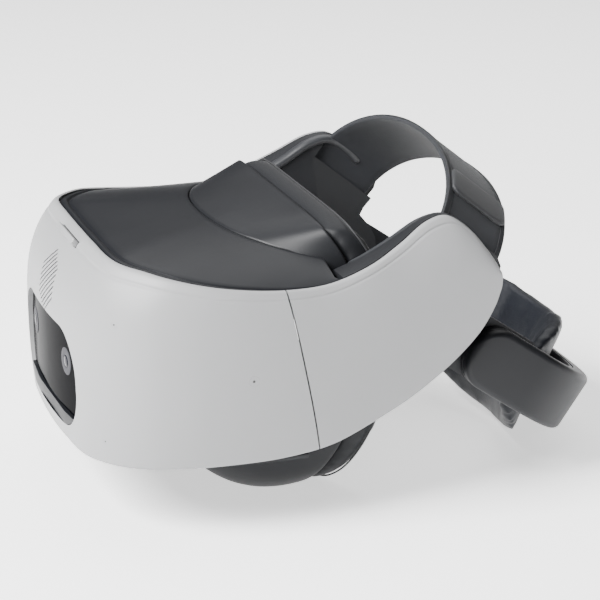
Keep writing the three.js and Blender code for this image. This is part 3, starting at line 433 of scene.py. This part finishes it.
SLOT_MATERIAL = {
    "shell_white": "shell", "charcoal_plastic": "charcoal", "hood_grey": "hood", "window_black": "glass",
    "lens_glass": "lens", "cushion_foam": "pad", "strap_webbing": "strap", "key_grey": "key",
    "bare_metal": "metal",
    "circuit_board": "board", "battery_wrap": "cell", "display_black": "screen", "soft_rubber": "rubber",
}


def see_through(material, alpha):
    """Turns a gloss material into clear optical plastic."""
    shader = material.node_tree.nodes["Principled BSDF"]
    shader.inputs["Transmission Weight"].default_value = 1.0 - alpha
    shader.inputs["IOR"].default_value = 1.49
    return material


MATERIAL["optic"] = see_through(grain_material("optic_clear", (0.85, 0.87, 0.9), 0.04, spread=0.01,
                                               scale=60, bump=0.0,
                                               tone=0.01), 0.08)


# ------------------------------------------------------------------ white shell
def shell_profile():
    """(q, outer inset, inner inset) from foot to rim, with rounded lips and a soft crease under the rim."""
    rows = [(-1, 1.1, 1.6), (-0.998, 0.55, 2.1), (-0.992, 0.15, WALL), (-0.98, 0, WALL)]
    rows += [(q, 0, WALL) for q in np.linspace(-0.94, 0.84, 38)]
    for q in (0.87, 0.885, 0.895, 0.905, 0.912, 0.92, 0.93, 0.94, 0.955, 0.97):
        rows.append((q, 0.42 * math.exp(-((q - 0.908) / 0.012) ** 2), WALL))
    rows += [(0.985, 0.08, WALL), (0.993, 0.35, WALL), (0.998, 0.75, 2.2), (1, 1.15, 1.7)]
    return rows


SHELL_PROFILE = shell_profile()


def shell_ring(place):
    outer, inner = [], []
    cache = {}
    for q, out_inset, in_inset in SHELL_PROFILE:
        s = place(q)
        if s not in cache:
            cache[s] = Station(s)
        outer.append(cache[s].point(q, out_inset))
        inner.append(cache[s].point(q, in_inset))
    return outer + inner[::-1]


def cutter(name, points, faces):
    obj = new_object(name, points, faces, smooth=False)
    return obj


def box_points(sx, sy, sz):
    signs = [(-1, -1, -1), (1, -1, -1), (1, 1, -1), (-1, 1, -1), (-1, -1, 1), (1, -1, 1), (1, 1, 1),
             (-1, 1, 1)]
    return np.array([(a * sx / 2, b * sy / 2, c * sz / 2) for a, b, c in signs])


BOX_FACES = [(0, 3, 2, 1), (4, 5, 6, 7), (0, 1, 5, 4), (2, 3, 7, 6), (1, 2, 6, 5), (3, 0, 4, 7)]


def turn_y(points, degrees):
    c, s = math.cos(math.radians(degrees)), math.sin(math.radians(degrees))
    return np.stack([points[:, 0] * c + points[:, 2] * s, points[:, 1],
                     -points[:, 0] * s + points[:, 2] * c], -1)


def turn_x(points, degrees):
    c, s = math.cos(math.radians(degrees)), math.sin(math.radians(degrees))
    return np.stack([points[:, 0], points[:, 1] * c - points[:, 2] * s,
                     points[:, 1] * s + points[:, 2] * c], -1)


def rounded_outline(x0, x1, z0, z1, r, steps=14):
    points = []
    for cx, cz, start in ((x1 - r, z0 + r, -90), (x1 - r, z1 - r, 0), (x0 + r, z1 - r, 90),
                          (x0 + r, z0 + r, 180)):
        for k in range(steps + 1):
            angle = math.radians(start + 90 * k / steps)
            points.append((cx + r * math.cos(angle), cz + r * math.sin(angle)))
    return np.array(points)


def dense(outline, step):
    points = []
    for a, b in zip(outline, np.roll(outline, -1, 0)):
        count = max(1, round(float(np.linalg.norm(b - a)) / step))
        points += [a + (b - a) * k / count for k in range(count)]
    return np.array(points)


def window_outline(inset):
    half, top, foot, corner = (WINDOW[k] for k in ("half", "top", "foot", "corner"))
    return dense(rounded_outline(-half + inset, half - inset, foot + inset, top - inset, corner - inset), 3)


def bowed_rings(outline, depths):
    rings = []
    for shrink, y in depths:
        centre = outline.mean(0)
        flat = centre + (outline - centre) * shrink
        rings.append([(x, y + FACE_BOW * x * x, z) for x, z in flat])
    return rings


def subtract(obj, tools):
    """Cuts the tools out of a piece and removes them."""
    for tool in tools:
        modifier = obj.modifiers.new("cut", "BOOLEAN")
        modifier.operation = "DIFFERENCE"
        modifier.solver = "EXACT"
        modifier.object = tool
    evaluated = obj.evaluated_get(bpy.context.evaluated_depsgraph_get())
    mesh = bpy.data.meshes.new_from_object(evaluated)
    obj.modifiers.clear()
    obj.data = mesh
    for tool in tools:
        bpy.data.objects.remove(tool)


def vent_tools():
    middle = (VENT["slots"] - 1) / 2
    points, faces = [], []
    for i in range(VENT["slots"]):
        offset = (i - middle) * VENT["pitch"]
        block = box_points(2 * VENT["half"] - abs(offset) * 0.9, 20, VENT["slot"]) + (0, 0, offset)
        block = turn_y(block, -VENT["slant"]) + (0, 0, VENT["z"])
        faces += [tuple(v + len(points) for v in face) for face in BOX_FACES]
        points += list(block)
    return cutter("vent_tool", points, faces)


def key_tool(grow, depth):
    block = turn_x(box_points(KEY["length"] + 2 * grow, depth, KEY["width"] + 2 * grow), -KEY["tilt"])
    return cutter("key_tool", block + (0, KEY["y"], KEY["z"]), BOX_FACES)


def make_shells():
    rings = [shell_ring(lambda q, u=u: u * joint_at(q)) for u in np.linspace(-1, 1, 200)]
    front = loft("visor_shell", rings, caps="wall")
    window = loft("window_tool", bowed_rings(window_outline(0), [(1, -12), (1, 16)]))
    subtract(front, [window, vent_tools(), key_tool(GAP, 16)])
    sharpen(front, 50)
    finish_piece(front, "visor", "shell_white", MATERIAL["shell"], "front_shell")
    for side, sign in (("left", 1), ("right", -1)):
        rings = []
        for u in np.linspace(0.004, 1, 90):
            ring = shell_ring(lambda q, u=u: joint_at(q) + (1 - joint_at(q)) * u)
            rings.append([p * (sign, 1, 1) for p in ring])
        arm = loft(f"{side}_arm_skin", rings, caps="wall")
        sharpen(arm, 50)
        finish_piece(arm, "visor", "shell_white", MATERIAL["shell"], f"{side}_arm_shell")


def skin_frame(s, q):
    """A point of the shell's surface with its outward normal and two tangents."""
    here = skin(s, q)
    across = skin(s + 0.003, q) - here
    over = skin(s, q + 0.01) - here
    across /= np.linalg.norm(across)
    normal = np.cross(across, over)
    normal /= np.linalg.norm(normal)
    if normal[0] < 0:
        normal = -normal
    return here, normal, across, np.cross(normal, across)


def disc_ring(centre, across, over, normal, radius, lift, sign, count=32):
    """A circle round a point of the shell, lifted off its surface, on the side the sign names."""
    ring = []
    for angle in np.linspace(0, 2 * math.pi, count, endpoint=False):
        point = centre + radius * (across * math.cos(angle) + over * math.sin(angle)) + normal * lift
        ring.append(point * (sign, 1, 1))
    return ring


def make_shell_marks():
    """Small sensor windows let into both sides of the shell."""
    for number, (s, q, size) in enumerate(SENSORS):
        here, normal, across, over = skin_frame(s, q)
        dot = ((size, -0.4), (size, 0.02), (size * 0.8, 0.05), (0.05, 0.05))
        rim = ((size * 4.2, -0.4), (size * 4.2, 0.01), (size * 3.9, 0.04),
               (size * 3.6, 0.01), (size * 3.6, -0.4))
        for side, sign in (("left", 1), ("right", -1)):
            for part, rows, slot, material in (("dot", dot, "charcoal_plastic", "dot"),
                                               ("rim", rim, "shell_white", "shell")):
                rings = [disc_ring(here, across, over, normal, radius, lift, sign) for radius, lift in rows]
                mark = loft(f"{side}_sensor_{part}_{number}", rings, endless=part == "rim")
                finish_piece(mark, "visor", slot, MATERIAL[material])


def make_lining_borders():
    """The rounded upper border that runs along each arm's inner edge, coloured lighter than the lining as a
    painted highlight on its round top.
    """
    places = np.linspace(BORDER["start"], BORDER["end"], 60)
    for side, sign in (("left", 1), ("right", -1)):
        rings = []
        for s in places:
            top = skin(s, BORDER["q"], WALL + GAP)
            end = min(s - places[0], places[-1] - s)
            size = BORDER["radius"] * math.sqrt(min(1, max(end, 0.0) / 0.012 + 0.02))
            centre = np.array([BORDER["x"] + 0.25 * size, top[1], top[2] - BORDER["drop"]])
            run = skin(s + 0.004, BORDER["q"], WALL + GAP) - top
            run[0] = 0
            run /= np.linalg.norm(run)
            across = np.array([BORDER["widen"], 0, 0])
            over = np.array([0, -run[2], run[1]])
            rings.append([(centre + size * (across * math.cos(a) + over * math.sin(a))) * (sign, 1, 1)
                          for a in np.linspace(0, 2 * math.pi, 20, endpoint=False)])
        border = loft(f"{side}_lining_border_painted_highlight", rings)
        # the border is dark lining; its lighter colour is a painted highlight
        finish_piece(border, "visor", "charcoal_plastic", MATERIAL["border"])


# ------------------------------------------------------------------ window, cameras
def clipped(outline, floor):
    return np.array([(x, max(z, floor)) for x, z in outline])


def make_window():
    face, thick = WINDOW["face"], WINDOW["thick"]
    outline = clipped(window_outline(GAP), WINDOW["glass_foot"] + GAP / 2)
    keep = [i for i in range(len(outline)) if np.linalg.norm(outline[i] - outline[i - 1]) > 0.05]
    outline = outline[keep]
    steps = [(1, face + thick), (1, face + 0.6), (0.996, face + 0.25), (0.986, face + 0.05), (0.97, face)]
    steps += [(k, face) for k in (0.9, 0.8, 0.65, 0.5, 0.35, 0.2, 0.08, 0.01)]
    glass = loft("window_glass", bowed_rings(outline, steps))
    finish_piece(glass, "visor", "window_black", MATERIAL["glass"], "front_window")
    for side, sign in (("left", 1), ("right", -1)):
        ring_of = lambda profile: [[(sign * CAMERA_X + r * math.cos(a),
                                     face + lift + FACE_BOW * CAMERA_X ** 2
                                     + 2 * FACE_BOW * CAMERA_X * r * math.cos(a) * sign,
                                     CAMERA_Z + r * math.sin(a))
                                    for a in np.linspace(0, 2 * math.pi, 48, endpoint=False)] for r,
                                   lift in profile]
        ring = loft(f"{side}_camera_ring",
                    ring_of([(3.0, 0.3), (3.0, -0.12), (3.3, -0.2), (6.3, -0.2), (6.6, -0.1), (6.6, 0.3)]),
                    endless=True)
        # the ring is charcoal plastic; its lighter grey colour is a painted glint
        finish_piece(ring, "visor", "charcoal_plastic", MATERIAL["ring"])
        profile = [(2.9, 0.3), (2.9, -0.1), (2.2, -0.35), (1.2, -0.5), (0.1, -0.55)]
        eye = loft(f"{side}_camera_eye", ring_of(profile))
        finish_piece(eye, "visor", "lens_glass", MATERIAL["lens"])


# ------------------------------------------------------------------ deck and hood
def make_deck():
    steps = [(0, 1.5), (0.006, 1.0), (0.016, 0.7), (0.032, 0.62), (0.046, 0.72), (0.052, 1.0), (0.057, 1.7),
             (0.064, 1.9),
             (0.072, 1.85), (0.08, 1.3), (0.095, 0.95), (0.15, 0.8), (0.25, 0.6), (0.35, 0.4), (0.5, 0.2),
             (0.65, 0.05),
             (0.8, 0), (0.95, 0), (0.985, 0.05), (0.996, 0.3), (1, 0.8)]
    rings = []
    for w in np.linspace(-1, 1, 170):
        edge = skin(w * DECK_END, 1, WALL + GAP)
        x = w * 86.5
        seam = SEAM_DEPTH + 0.0034 * x ** 2 + 8e-7 * x ** 4
        rear = np.array([x, min(seam, DECK_REAR) - GAP, DECK_CROWN - DECK_FALL * abs(x / 86.5) ** 2.8])
        top = [edge + (rear - edge) * share - (0, 0, drop) for share, drop in steps]
        under = [p - (0, 0, COVER) for p in top][::-1]
        rings.append(top + under)
    deck = loft("deck_panel", rings, caps="wall")
    sharpen(deck, 60)
    finish_piece(deck, "visor", "charcoal_plastic", MATERIAL["deck"], "top_deck")


def loop_of(half, count=176):
    points = [np.array(p, float) for p in half]
    others = [p * (-1, 1, 1) for p in points[-2:0:-1]]
    return np.array([centripetal(points + others, i / count, closed=True) for i in range(count)])


def shrink(loop, inset, back=0.0):
    """Moves a loop inside itself in the front view."""
    before, after = np.roll(loop, 1, 0), np.roll(loop, -1, 0)
    normal = np.stack([before[:, 2] - after[:, 2], np.zeros(len(loop)), after[:, 0] - before[:, 0]], -1)
    normal /= np.linalg.norm(normal, axis=1)[:, None]
    return loop - normal * inset + (0, back, 0)


LOOPS = [loop_of(half) for half in (HOOD_FRONT, HOOD_MIDDLE, HOOD_RIDGE)]


def hood_loop(t):
    """The hood's surface between its front (0) and its ridge (1)."""
    front, middle, ridge = LOOPS
    return front * (2 * t - 1) * (t - 1) + middle * 4 * t * (1 - t) + ridge * t * (2 * t - 1)


def make_hood():
    outer = [(0, 0.9), (0.004, 0.35), (0.015, 0), *[(t, 0) for t in np.linspace(0.05, 0.95, 18)],
             (0.98, 0.04),
             (0.991, 0.22), (0.997, 0.6), (1, 1.2)]
    rings = [shrink(hood_loop(t), inset) for t, inset in outer]
    rings += [shrink(hood_loop(t), 2.4) for t in (1, 0.75, 0.5, 0.25, 0)]
    hood = loft("hood_skin", rings, endless=True)
    sharpen(hood, 60)
    finish_piece(hood, "visor", "hood_grey", MATERIAL["hood"], "face_hood")


def settle(obj, cap, voxel=0.004, pressure=4.0):
    """Lets a closed form swell like stuffed fabric, no point moving further than the cap."""
    scene = bpy.context.scene
    remesh = obj.modifiers.new("remesh", "REMESH")
    remesh.mode = "VOXEL"
    remesh.voxel_size = voxel
    evaluated = obj.evaluated_get(bpy.context.evaluated_depsgraph_get())
    obj.data = bpy.data.meshes.new_from_object(evaluated)
    obj.modifiers.clear()
    start = np.array([v.co for v in obj.data.vertices])
    cloth = obj.modifiers.new("cloth", "CLOTH")
    cloth.settings.use_pressure = True
    cloth.settings.uniform_pressure_force = pressure
    cloth.settings.effector_weights.gravity = 0
    for number in range(1, 21):
        scene.frame_set(number)
    swollen = obj.evaluated_get(bpy.context.evaluated_depsgraph_get())
    end = np.array([v.co for v in swollen.data.vertices])
    obj.modifiers.clear()
    scene.frame_set(1)
    move = end - start
    size = np.linalg.norm(move, axis=1)
    move *= np.minimum(1, cap / np.maximum(size, 1e-9))[:, None]
    obj.data.vertices.foreach_set("co", (start + move).ravel())
    smooth = obj.modifiers.new("smooth", "SMOOTH")
    smooth.iterations = 6
    smooth.factor = 0.5
    detail = obj.modifiers.new("detail", "SUBSURF")
    detail.levels = detail.render_levels = 1
    for polygon in obj.data.polygons:
        polygon.use_smooth = True


def piping(name, centres, radius, body, slot, material, closed=True):
    """A round sewn cord edge along a line of points."""
    rings = []
    count = len(centres)
    for i, centre in enumerate(centres):
        ahead = centres[(i + 1) % count] if closed else centres[min(i + 1, count - 1)]
        behind = centres[i - 1] if closed else centres[max(i - 1, 0)]
        run = ahead - behind
        run /= np.linalg.norm(run)
        side = np.cross(run, (0, 1, 0))
        side /= max(np.linalg.norm(side), 1e-6)
        up = np.cross(side, run)
        rings.append([centre + radius * (side * math.cos(a) + up * math.sin(a))
                      for a in np.linspace(0, 2 * math.pi, 8, endpoint=False)])
    obj = loft(name, rings, endless=closed)
    return finish_piece(obj, body, slot, material)


def make_face_cushion():
    ridge = LOOPS[2]
    rows = [(1.6, 0.9), (0.7, 2.2), (0.5, 6), (0.8, 11), (2.0, 15), (4.2, 17.4), (6.6, 17.6), (8.6, 15.6),
            (10, 12), (10.3, 8),
            (10.2, 4), (9.6, 1.2)]
    pad = loft("face_pad", [shrink(ridge, inset, back) for inset, back in rows], endless=True)
    settle(pad, 0.0012, voxel=0.0032)
    finish_piece(pad, "visor", "cushion_foam", MATERIAL["face_pad"], "face_cushion")
    piping("face_pad_piping", shrink(ridge, 0.9, 12.5), 0.45, "visor", "cushion_foam", MATERIAL["rubber"])


# ------------------------------------------------------------------ strap
def arch_point(angle, lift=0.0):
    power = 2 / STRAP["power"]
    c, s = math.cos(angle), math.sin(angle)
    return np.array([(STRAP_HALF + lift) * math.copysign(abs(c) ** power, c),
                     STRAP["slot"] + (STRAP["rise"] + lift) * abs(s) ** power])


def tape(name, line, w0, w1, thick, end_taper=0.0, rows=9):
    """A flat tape along (x, height) points, from w0 to w1 across, with round edges and its own UV map."""
    half, middle = (w1 - w0) / 2, (w0 + w1) / 2
    lengths = np.concatenate([[0], np.cumsum(np.linalg.norm(np.diff(line, axis=0), axis=1))])
    total = lengths[-1]
    rings, uvs = [], []
    edge = thick / 2
    across = np.linspace(-half + edge, half - edge, rows)
    for i, point in enumerate(line):
        ahead, behind = line[min(i + 1, len(line) - 1)], line[max(i - 1, 0)]
        run = (ahead - behind) / np.linalg.norm(ahead - behind)
        side = np.array([-run[1], run[0]])
        from_end = min(lengths[i], total - lengths[i])
        share = 1.0
        if end_taper:
            share = math.sqrt(max(1 - (1 - min(from_end / end_taper, 1)) ** 2, 0.02))
        corner_pull = 0.0
        if end_taper:
            corner_pull = max(0.0, 1 - min(from_end / (2.2 * end_taper), 1)) ** 2 * 2.2 * end_taper
        ring = []
        for w in across:
            ring.append((w * (1 - corner_pull / half), edge * share))
        for k in range(1, 4):
            angle = math.pi / 2 - k * math.pi / 4
            ring.append(((half - edge) * (1 - corner_pull / half) + edge * math.cos(angle),
                         edge * share * math.sin(angle)))
        for w in across[::-1]:
            ring.append((w * (1 - corner_pull / half), -edge * share))
        for k in range(1, 4):
            angle = -math.pi / 2 - k * math.pi / 4
            ring.append((-(half - edge) * (1 - corner_pull / half) + edge * math.cos(angle),
                         edge * share * math.sin(angle)))
        rings.append([(point[0] + side[0] * h, middle + w, point[1] + side[1] * h) for w, h in ring])
        uvs.append([(lengths[i] / 1000, w / 1000) for w, h in ring])
    rings = tilted(np.array(rings), STRAP["lean"])
    obj = loft(name, rings)
    flat = np.array(uvs).reshape(-1, 2)
    layer = obj.data.uv_layers.new(name="UVMap")
    for loop in obj.data.loops:
        layer.data[loop.index].uv = flat[loop.vertex_index]
    return obj


def make_strap():
    front, back = STRAP["front"], STRAP["front"] + STRAP["width"]
    arch = [arch_point(a) for a in np.linspace(0, math.pi, 140)]
    ends = [np.array([x, STRAP["slot"] - STRAP["tail"] * share])
            for x in (STRAP_HALF, -STRAP_HALF) for share in (1, 0.5)]
    line = np.array(ends[:2] + arch + ends[:1:-1])
    strap = tape("strap_tape", line, front, back, STRAP["thick"])
    finish_piece(strap, "visor", "strap_webbing", MATERIAL["strap"], "top_strap")
    for name, w in (("front", front + 1.7), ("rear", back - 1.7)):
        outer = np.array([arch_point(a, STRAP["thick"] / 2 + 0.12)
                          for a in np.linspace(0.12, math.pi - 0.12, 120)])
        edge = tape(f"strap_binding_{name}", outer, w - 1.5, w + 1.5, 0.5, rows=4)
        finish_piece(edge, "visor", "strap_webbing", MATERIAL["edge"])
    for side, sign in (("left", 1), ("right", -1)):
        lift = STRAP["thick"] / 2 + GAP + 0.8
        line = np.array([arch_point(a, lift) * (sign, 1) for a in np.linspace(0.6, 0.88, 36)])
        tab = tape(f"{side}_tab_tape", line, front + 1.6, back - 1.6, 2.2, end_taper=1.6)
        finish_piece(tab, "visor", "strap_webbing", MATERIAL["tab"], f"{side}_strap_tab")


# ------------------------------------------------------------------ rear cradle
def u_point(half, reach, t):
    """A point of the U from the left front end (0) round the back (0.5) to the right front end (1)."""
    leg, turn = 0.22, 0.56
    if t < leg:
        return np.array([half, POD["front"] + (POD["straight"] - POD["front"]) * t / leg])
    if t > leg + turn:
        return np.array([-half, POD["front"] + (POD["straight"] - POD["front"]) * (1 - t) / leg])
    angle = math.pi * (t - leg) / turn
    return np.array([half * math.cos(angle), POD["straight"] + reach * math.sin(angle)])


def casing_ring(t, end):
    """The casing's C-shaped section; end is the distance from the nearest front end."""
    outer, inner = u_point(POD["half"], POD["reach"], t), u_point(81.6, 47.9, t)
    across = outer - inner
    depth = np.linalg.norm(across)
    across /= depth
    middle = (POD["low"] + POD["high"]) / 2
    radius = 14.5
    height = (POD["high"] - POD["low"]) / 2
    if end < radius:
        height = height - radius + math.sqrt(max(radius ** 2 - (radius - end) ** 2, 0))
    soft = 3.2
    pull = soft - math.sqrt(max(soft ** 2 - (soft - min(end, soft)) ** 2, 0))
    wall = POD["wall"]
    corner = min(3.4, height * 0.95)
    face = depth - pull
    ring = [(0.0, height)]
    for k in range(8):
        a = math.pi / 2 * (1 - k / 7)
        ring.append((face - corner + corner * math.cos(a), height - corner + corner * math.sin(a)))
    for k in range(8):
        a = -math.pi / 2 * k / 7
        ring.append((face - corner + corner * math.cos(a), -height + corner + corner * math.sin(a)))
    ring.append((0.0, -height))
    hollow = max(height - wall, 0.1)
    floor = max(face - wall, 0.4)
    ring += [(0.0, -hollow), (floor, -hollow), (floor, hollow), (0.0, hollow)]
    return [(*(inner + across * d), middle + h) for d, h in ring]


def make_casing():
    ends = [0, 0.15, 0.5, 1, 1.8, 2.8, 4, 5.5, 7.5, 10, 12.5, 15]
    leg_length = POD["straight"] - POD["front"]
    ts = [0.22 * d / leg_length for d in ends]
    ts += list(np.linspace(ts[-1], 1 - ts[-1], 150))[1:-1]
    ts += [1 - 0.22 * d / leg_length for d in ends[::-1]]
    rings = []
    for t in ts:
        end = min(t, 1 - t) / 0.22 * leg_length
        rings.append(casing_ring(t, end))
    casing = loft("cradle_casing", tilted(np.array(rings), CRADLE_TILT))
    sharpen(casing, 50)
    finish_piece(casing, "rear_cradle", "charcoal_plastic", MATERIAL["charcoal"], "rear_casing")


def pad_sweep(level):
    span = PAD["high"] - PAD["middle"] if level > PAD["middle"] else PAD["middle"] - PAD["low"]
    share = min(abs(level - PAD["middle"]) / span, 0.985)
    return math.radians(PAD["sweep"] * (1 - share ** PAD["power"]) ** (1 / PAD["power"]))


def pad_reach(level):
    knee = 92
    flare = 6 * ((knee - level) / (knee - PAD["low"])) ** 1.4 if level < knee else -0.16 * (level - knee)
    return PAD["reach"] + flare


def pad_ring(level, inset):
    sweep, reach = pad_sweep(level), pad_reach(level)
    arc = lambda half, depth: [(half * math.sin(a), POD["straight"] + depth * math.cos(a), level)
                               for a in np.linspace(-sweep, sweep, 60)]
    thick = PAD["thick"]
    return arc(PAD["half"] - inset, reach - inset) + arc(PAD["half"] - thick + inset,
                                                         reach - thick + inset)[::-1]


def make_rear_cushion():
    levels = [PAD["low"] + 1 + (PAD["high"] - PAD["low"] - 2) * (1 - math.cos(a)) / 2
              for a in np.linspace(0, math.pi, 46)]
    pad = loft("rear_pad", tilted(np.array([pad_ring(level, 0.9) for level in levels]), CRADLE_TILT))
    settle(pad, 0.0022, voxel=0.0028)
    finish_piece(pad, "rear_cradle", "cushion_foam", MATERIAL["pad"], "rear_cushion")


# ------------------------------------------------------------------ pieces kept from the frame
BEVELS = {
    "left_arm_lining": 0.8, "right_arm_lining": 0.8, "left_band": 0.5, "right_band": 0.5,
    "adjuster_dial": 0.4,
    "power_button": 0.4, "window_ledge": 0.5, "rear_casing_cover": 0.3, "bottom_cover": 0.3,
    "cushion_carrier": 0.6,
    "volume_up_button": 0.3, "volume_down_button": 0.3, "ipd_knob": 0.25,
}
SPECIAL = {"left_arm_lining": "lining", "right_arm_lining": "lining", "power_button": "shell",
           "left_lens": "optic", "right_lens": "optic"}


def dress_frame():
    slots = {part["node"]: part["material_slot"] for part in frame["record"]["subparts"]}
    for name, obj in frame["nodes"].items():
        material = MATERIAL[SPECIAL.get(name, SLOT_MATERIAL[slots[name]])]
        if obj.material_slots:
            for slot in obj.material_slots:
                slot.link = "OBJECT"
                slot.material = material
        if name in BEVELS:
            soften_edges(obj, BEVELS[name])
        sharpen(obj, 32)


# ------------------------------------------------------------------ studio
def area_light(name, spot, target, size, power, color=(1, 1, 1)):
    data = bpy.data.lights.new(name, "AREA")
    data.shape = "RECTANGLE"
    data.size, data.size_y = size
    data.energy = power
    data.color = color
    obj = bpy.data.objects.new(name, data)
    obj.location = spot
    obj.rotation_euler = (Vector(target) - Vector(spot)).to_track_quat("-Z", "Y").to_euler()
    bpy.context.scene.collection.objects.link(obj)


def make_studio():
    mesh = bpy.data.meshes.new("floor")
    mesh.from_pydata([(x * FLOOR_HALF, y * FLOOR_HALF, 0) for x, y in ((-1, -1), (1, -1), (1, 1), (-1, 1))], [],
                     [(0, 1, 2, 3)])
    floor = bpy.data.objects.new("floor", mesh)
    bpy.context.scene.collection.objects.link(floor)
    floor.location.z = -0.0005
    floor.data.materials.append(grain_material("floor_pale", (0.93, 0.93, 0.93), 0.8, scale=40, bump=0.0,
                                               tone=0.004, specular=0.1,
                                               glow=1.1))
    world = bpy.data.worlds.new("studio")
    world.use_nodes = True
    nodes, links = world.node_tree.nodes, world.node_tree.links
    place = nodes.new("ShaderNodeTexCoord")
    split = nodes.new("ShaderNodeSeparateXYZ")
    ramp = nodes.new("ShaderNodeValToRGB")
    links.new(place.outputs["Generated"], split.inputs[0])
    links.new(split.outputs["Z"], ramp.inputs["Fac"])
    ramp.color_ramp.elements[0].position = 0.0
    ramp.color_ramp.elements[0].color = (0.05, 0.05, 0.052, 1)
    ramp.color_ramp.elements[1].position = 0.75
    ramp.color_ramp.elements[1].color = (0.13, 0.132, 0.137, 1)
    links.new(ramp.outputs["Color"], nodes["Background"].inputs["Color"])
    nodes["Background"].inputs["Strength"].default_value = 0.8
    bpy.context.scene.world = world
    area_light("key_light", (0.35, -1.25, 1.25), (0, -0.02, 0.1), (1.0, 0.8), 125)
    area_light("top_light", (-0.55, 0.4, 1.25), (0, 0, 0.12), (1.5, 1.2), 14)
    area_light("side_light", (1.7, 0.1, 0.7), (0, 0, 0.06), (0.6, 0.6), 0.8)


def make_camera():
    data = bpy.data.cameras.new("camera")
    data.lens = 131.69
    data.sensor_width = 36
    obj = bpy.data.objects.new("camera", data)
    right = Vector((0.33099, 0.94364, -0.0004))
    up = Vector((-0.30438, 0.10716, 0.94650))
    back = Vector((0.89320, -0.31316, 0.32269))
    spot = Vector(to_metres([969.790, -210.905, 355.147]))
    turn = Matrix((right, up, back)).transposed().to_4x4()
    obj.matrix_world = Matrix.Translation(spot) @ turn
    bpy.context.scene.collection.objects.link(obj)
    bpy.context.scene.camera = obj


make_shells()
make_shell_marks()
make_lining_borders()
make_window()
make_deck()
make_hood()
make_face_cushion()
make_strap()
make_casing()
make_rear_cushion()
dress_frame()
make_studio()
make_camera()
